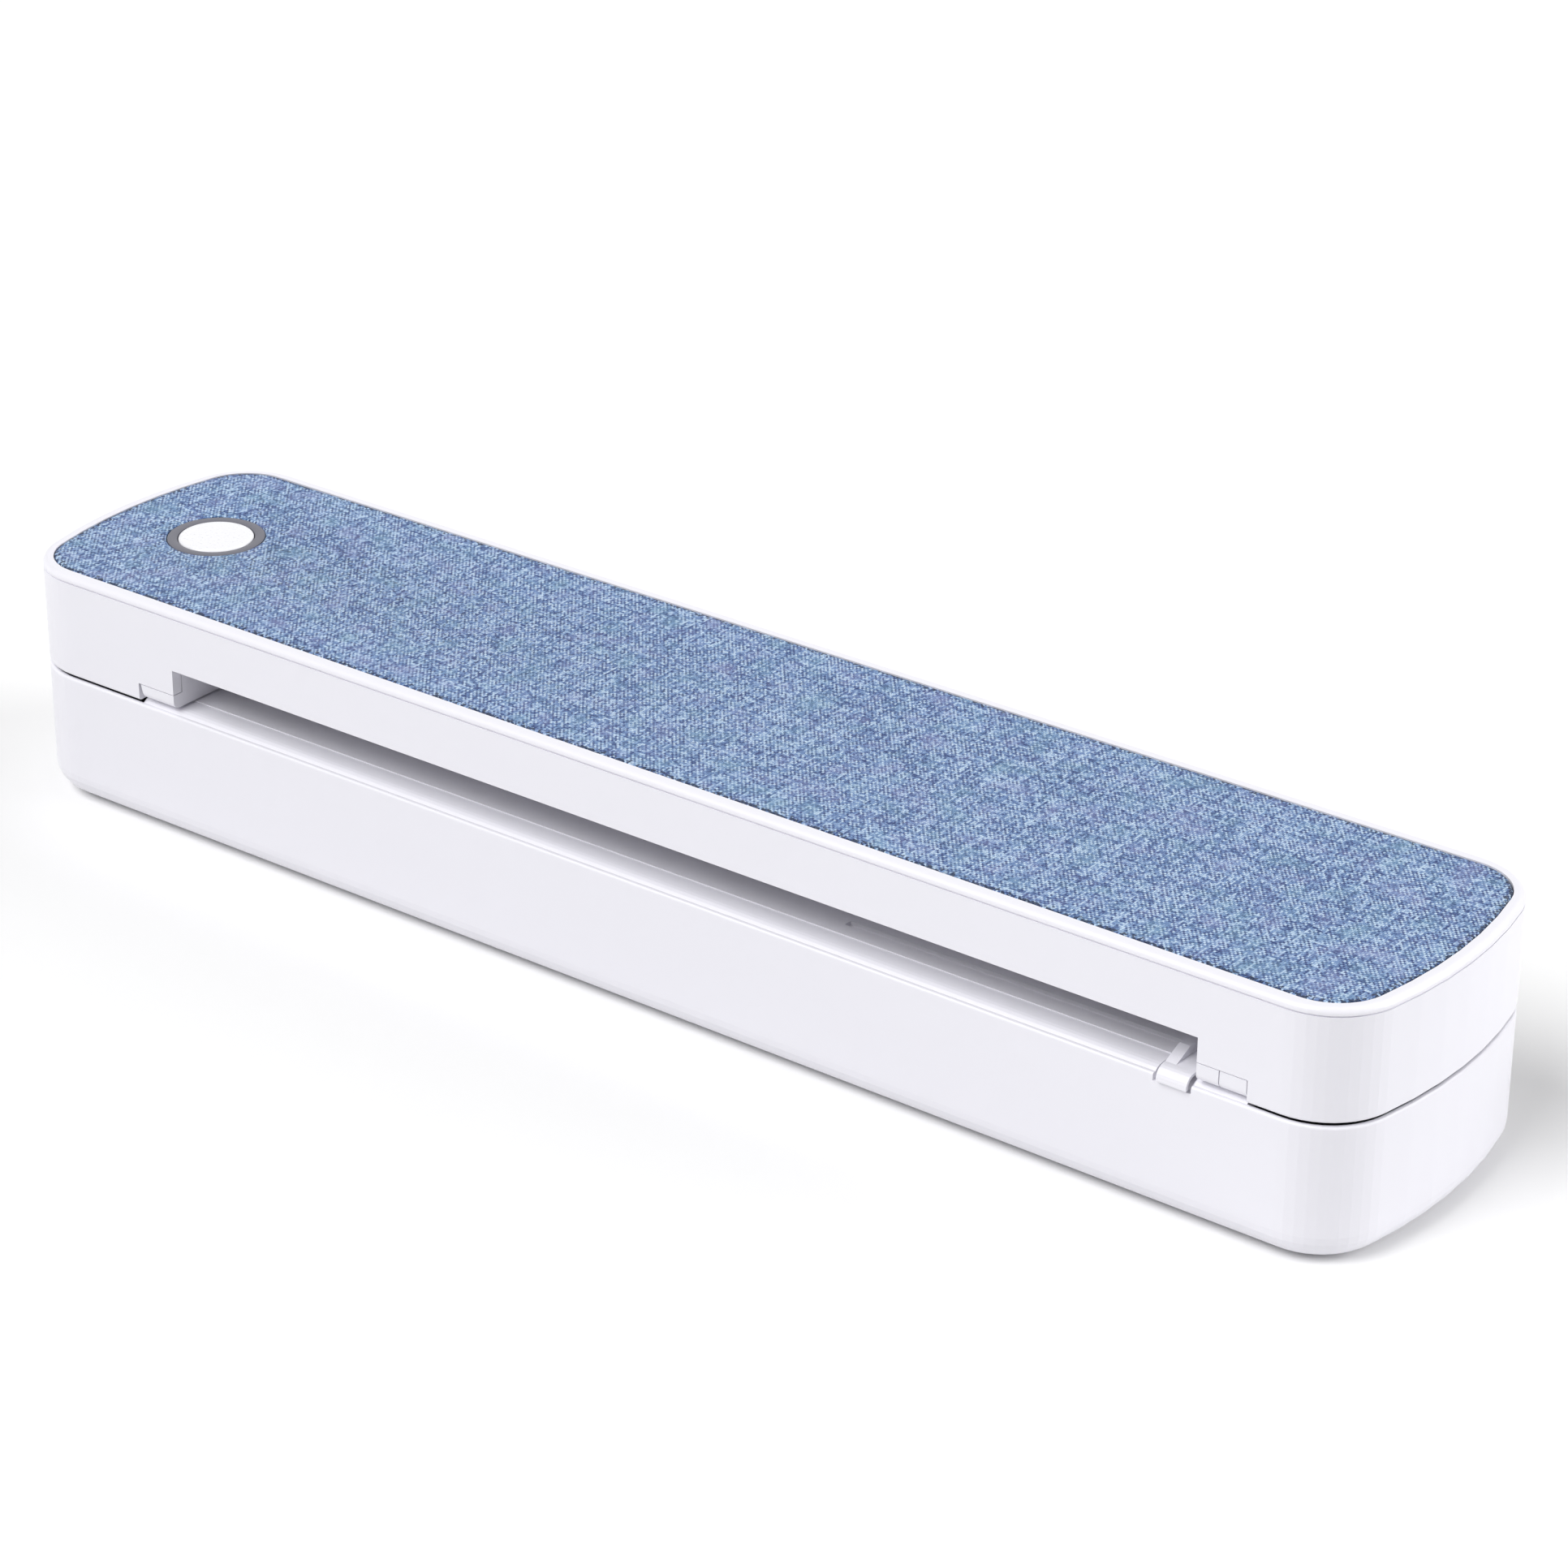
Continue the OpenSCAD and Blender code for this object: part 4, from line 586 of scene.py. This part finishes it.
def addFeet(f):
    profile = [(0, f["top"]), (f["r"], f["top"]), (f["r"], f["round"])]
    profile += [(f["r"] - inwards, up) for a, inwards, up in roundOver(f["round"], f["edgeAngles"])]
    profile += [(f["dishR"], 0), (f["dishR"] - f["dishSlope"], f["dish"]), (0, f["dish"])]
    for depth, y in (("front", -f["y"]), ("back", f["y"])):
        for side, x in (("left", -f["x"]), ("right", f["x"])):
            piece = lathe(f"{side}{depth.title()}Foot", profile, (x, y), "foot_rubber", "base", 64)
            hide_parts(f"foot_{depth}_{side}")


addFeet(foot)
print("button, ring and feet done")


# round wire whose end turns lie nearly flat
spring = {"xs": (-74, 4.8, 83.6), "y": 3, "low": 33.65, "high": 41.85, "turns": 5.5, "r": 2.3,
          "wire": 0.3, "wireSides": 10, "stepsPerTurn": 28, "closing": 0.09}


def addSprings(s):
    for where, x in zip(("left", "middle", "right"), s["xs"]):
        line = []
        count = int(s["turns"] * s["stepsPerTurn"])
        for k in range(count + 1):
            t = k / count
            lift = t - math.sin(2 * math.pi * t) * s["closing"]
            a = 2 * math.pi * s["turns"] * t
            line.append(Vector((x + s["r"] * math.cos(a), s["y"] + s["r"] * math.sin(a),
                                s["low"] + (s["high"] - s["low"]) * lift)))
        piece = tubeAlong(f"headSpring{where.title()}", line, s["wire"], "spring_steel", "cover",
                          s["wireSides"])
        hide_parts(f"head_spring_{where}")
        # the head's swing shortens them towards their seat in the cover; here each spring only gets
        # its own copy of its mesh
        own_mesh(piece)


addSprings(spring)


# round leads along the CAD's own routes, in millimetres
curveSteps = 8
leads = {
    "motorWires": {"node": "motor_lead", "slot": "lead_grey", "r": 0.98, "route": [
        (-137, 7.9, 13), (-137, 12, 12.4), (-136, 18, 9.8), (-132, 24, 7.6), (-125, 27.5, 7),
        (-112, 27.9, 7), (-60, 27.9, 7), (-20, 27.9, 7), (22, 27.8, 7), (29.5, 25.5, 7),
        (33, 20, 7.5), (36.5, 15.6, 8.4), (42.4, 14.4, 8.6)]},
    "batteryWires": {"node": "battery_lead", "slot": "lead_red", "r": 0.98, "route": [
        (33.5, -14, 12), (36.5, -13.6, 12), (39.5, -10.4, 10.4), (42, -7, 9), (43.4, -6, 8.6),
        (44.9, -6, 8.6)]},
}
for name, lead in leads.items():
    piece = tubeAlong(name, curveThrough(lead["route"], curveSteps), lead["r"], lead["slot"], "base")
    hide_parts(lead["node"])

# it bends across the hinge between baseEnd and coverEnd, which are in metres
headCable = {"r": 1.28, "baseEnd": (0.136, 0.0135, 0.0145), "coverEnd": (0.134, 0.0216, 0.0324),
             "route": [(98, 18.4, 30.4), (98, 20, 30.4), (98.6, 21.4, 32), (101.5, 21.9, 34.2),
                       (107, 22, 35), (118, 22, 35), (128, 21.9, 34.5), (134, 21.6, 32.4),
                       (136.6, 21, 28.4), (137, 18.5, 21.5), (136, 13.5, 14.5), (132, 9.5, 9.8),
                       (126, 8, 8.8), (118, 8, 8.8), (111, 8, 8.8)]}
cable = tubeAlong("headCable", curveThrough(headCable["route"], curveSteps), headCable["r"],
                  "cable_black", None)
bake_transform(cable)
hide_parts("head_cable")
print("springs and leads done")


# plain soft light: a wide key from the front left, a low one from behind the right end and a
# faint one from above
studio = {"floorSize": 12, "floorGrey": 0.8, "world": 0.18, "lamps": [
    # name, direction in degrees from the front, height and width in degrees, strength
    ("keyLight", -20, 50, 42, 2.45),
    ("rightLight", 124, 20, 40, 2.1),
    ("topLight", 170, 78, 60, 0.18),
]}


# 1 for rays that show the background: straight to the camera, mirrored or through glass
def whereSeen(tree):
    rays = tree.nodes.new("ShaderNodeLightPath").outputs
    mirrored = calc(tree, "MAXIMUM", rays["Is Glossy Ray"], rays["Is Transmission Ray"])
    return calc(tree, "MAXIMUM", rays["Is Camera Ray"], mirrored)


def addStage(s):
    half = s["floorSize"] / 2
    mesh = bpy.data.meshes.new("floor")
    mesh.from_pydata([(-half, -half, 0), (half, -half, 0), (half, half, 0), (-half, half, 0)], [],
                     [(0, 1, 2, 3)])
    floor = bpy.data.objects.new("floor", mesh)
    scene.collection.objects.link(floor)
    mat, tree, shader = newMaterial("floorWhite")
    seen = whereSeen(tree)
    grey = (s["floorGrey"],) * 3 + (1,)
    put(shader.inputs["Base Color"], mixColour(tree, seen, grey, (1, 1, 1, 1)))
    shader.inputs["Roughness"].default_value = 1
    shader.inputs["Specular IOR Level"].default_value = 0
    mesh.materials.append(mat)

    world = bpy.data.worlds.new("studio")
    scene.world = world
    world.use_nodes = True
    tree = world.node_tree
    back = tree.nodes["Background"]
    put(back.inputs["Strength"], ramp(tree, whereSeen(tree), 0, 1, s["world"], 1.0))
    back.inputs["Color"].default_value = (1, 1, 1, 1)

    for name, side, height, width, strength in s["lamps"]:
        data = bpy.data.lights.new(name, "SUN")
        data.energy, data.angle = strength, math.radians(width)
        lamp = bpy.data.objects.new(name, data)
        scene.collection.objects.link(lamp)
        a, e = math.radians(side), math.radians(height)
        out = Vector((math.sin(a) * math.cos(e), -math.cos(a) * math.cos(e), math.sin(e)))
        lamp.matrix_world = (-out).to_track_quat("-Z", "Y").to_matrix().to_4x4()


addStage(studio)
print("stage done")
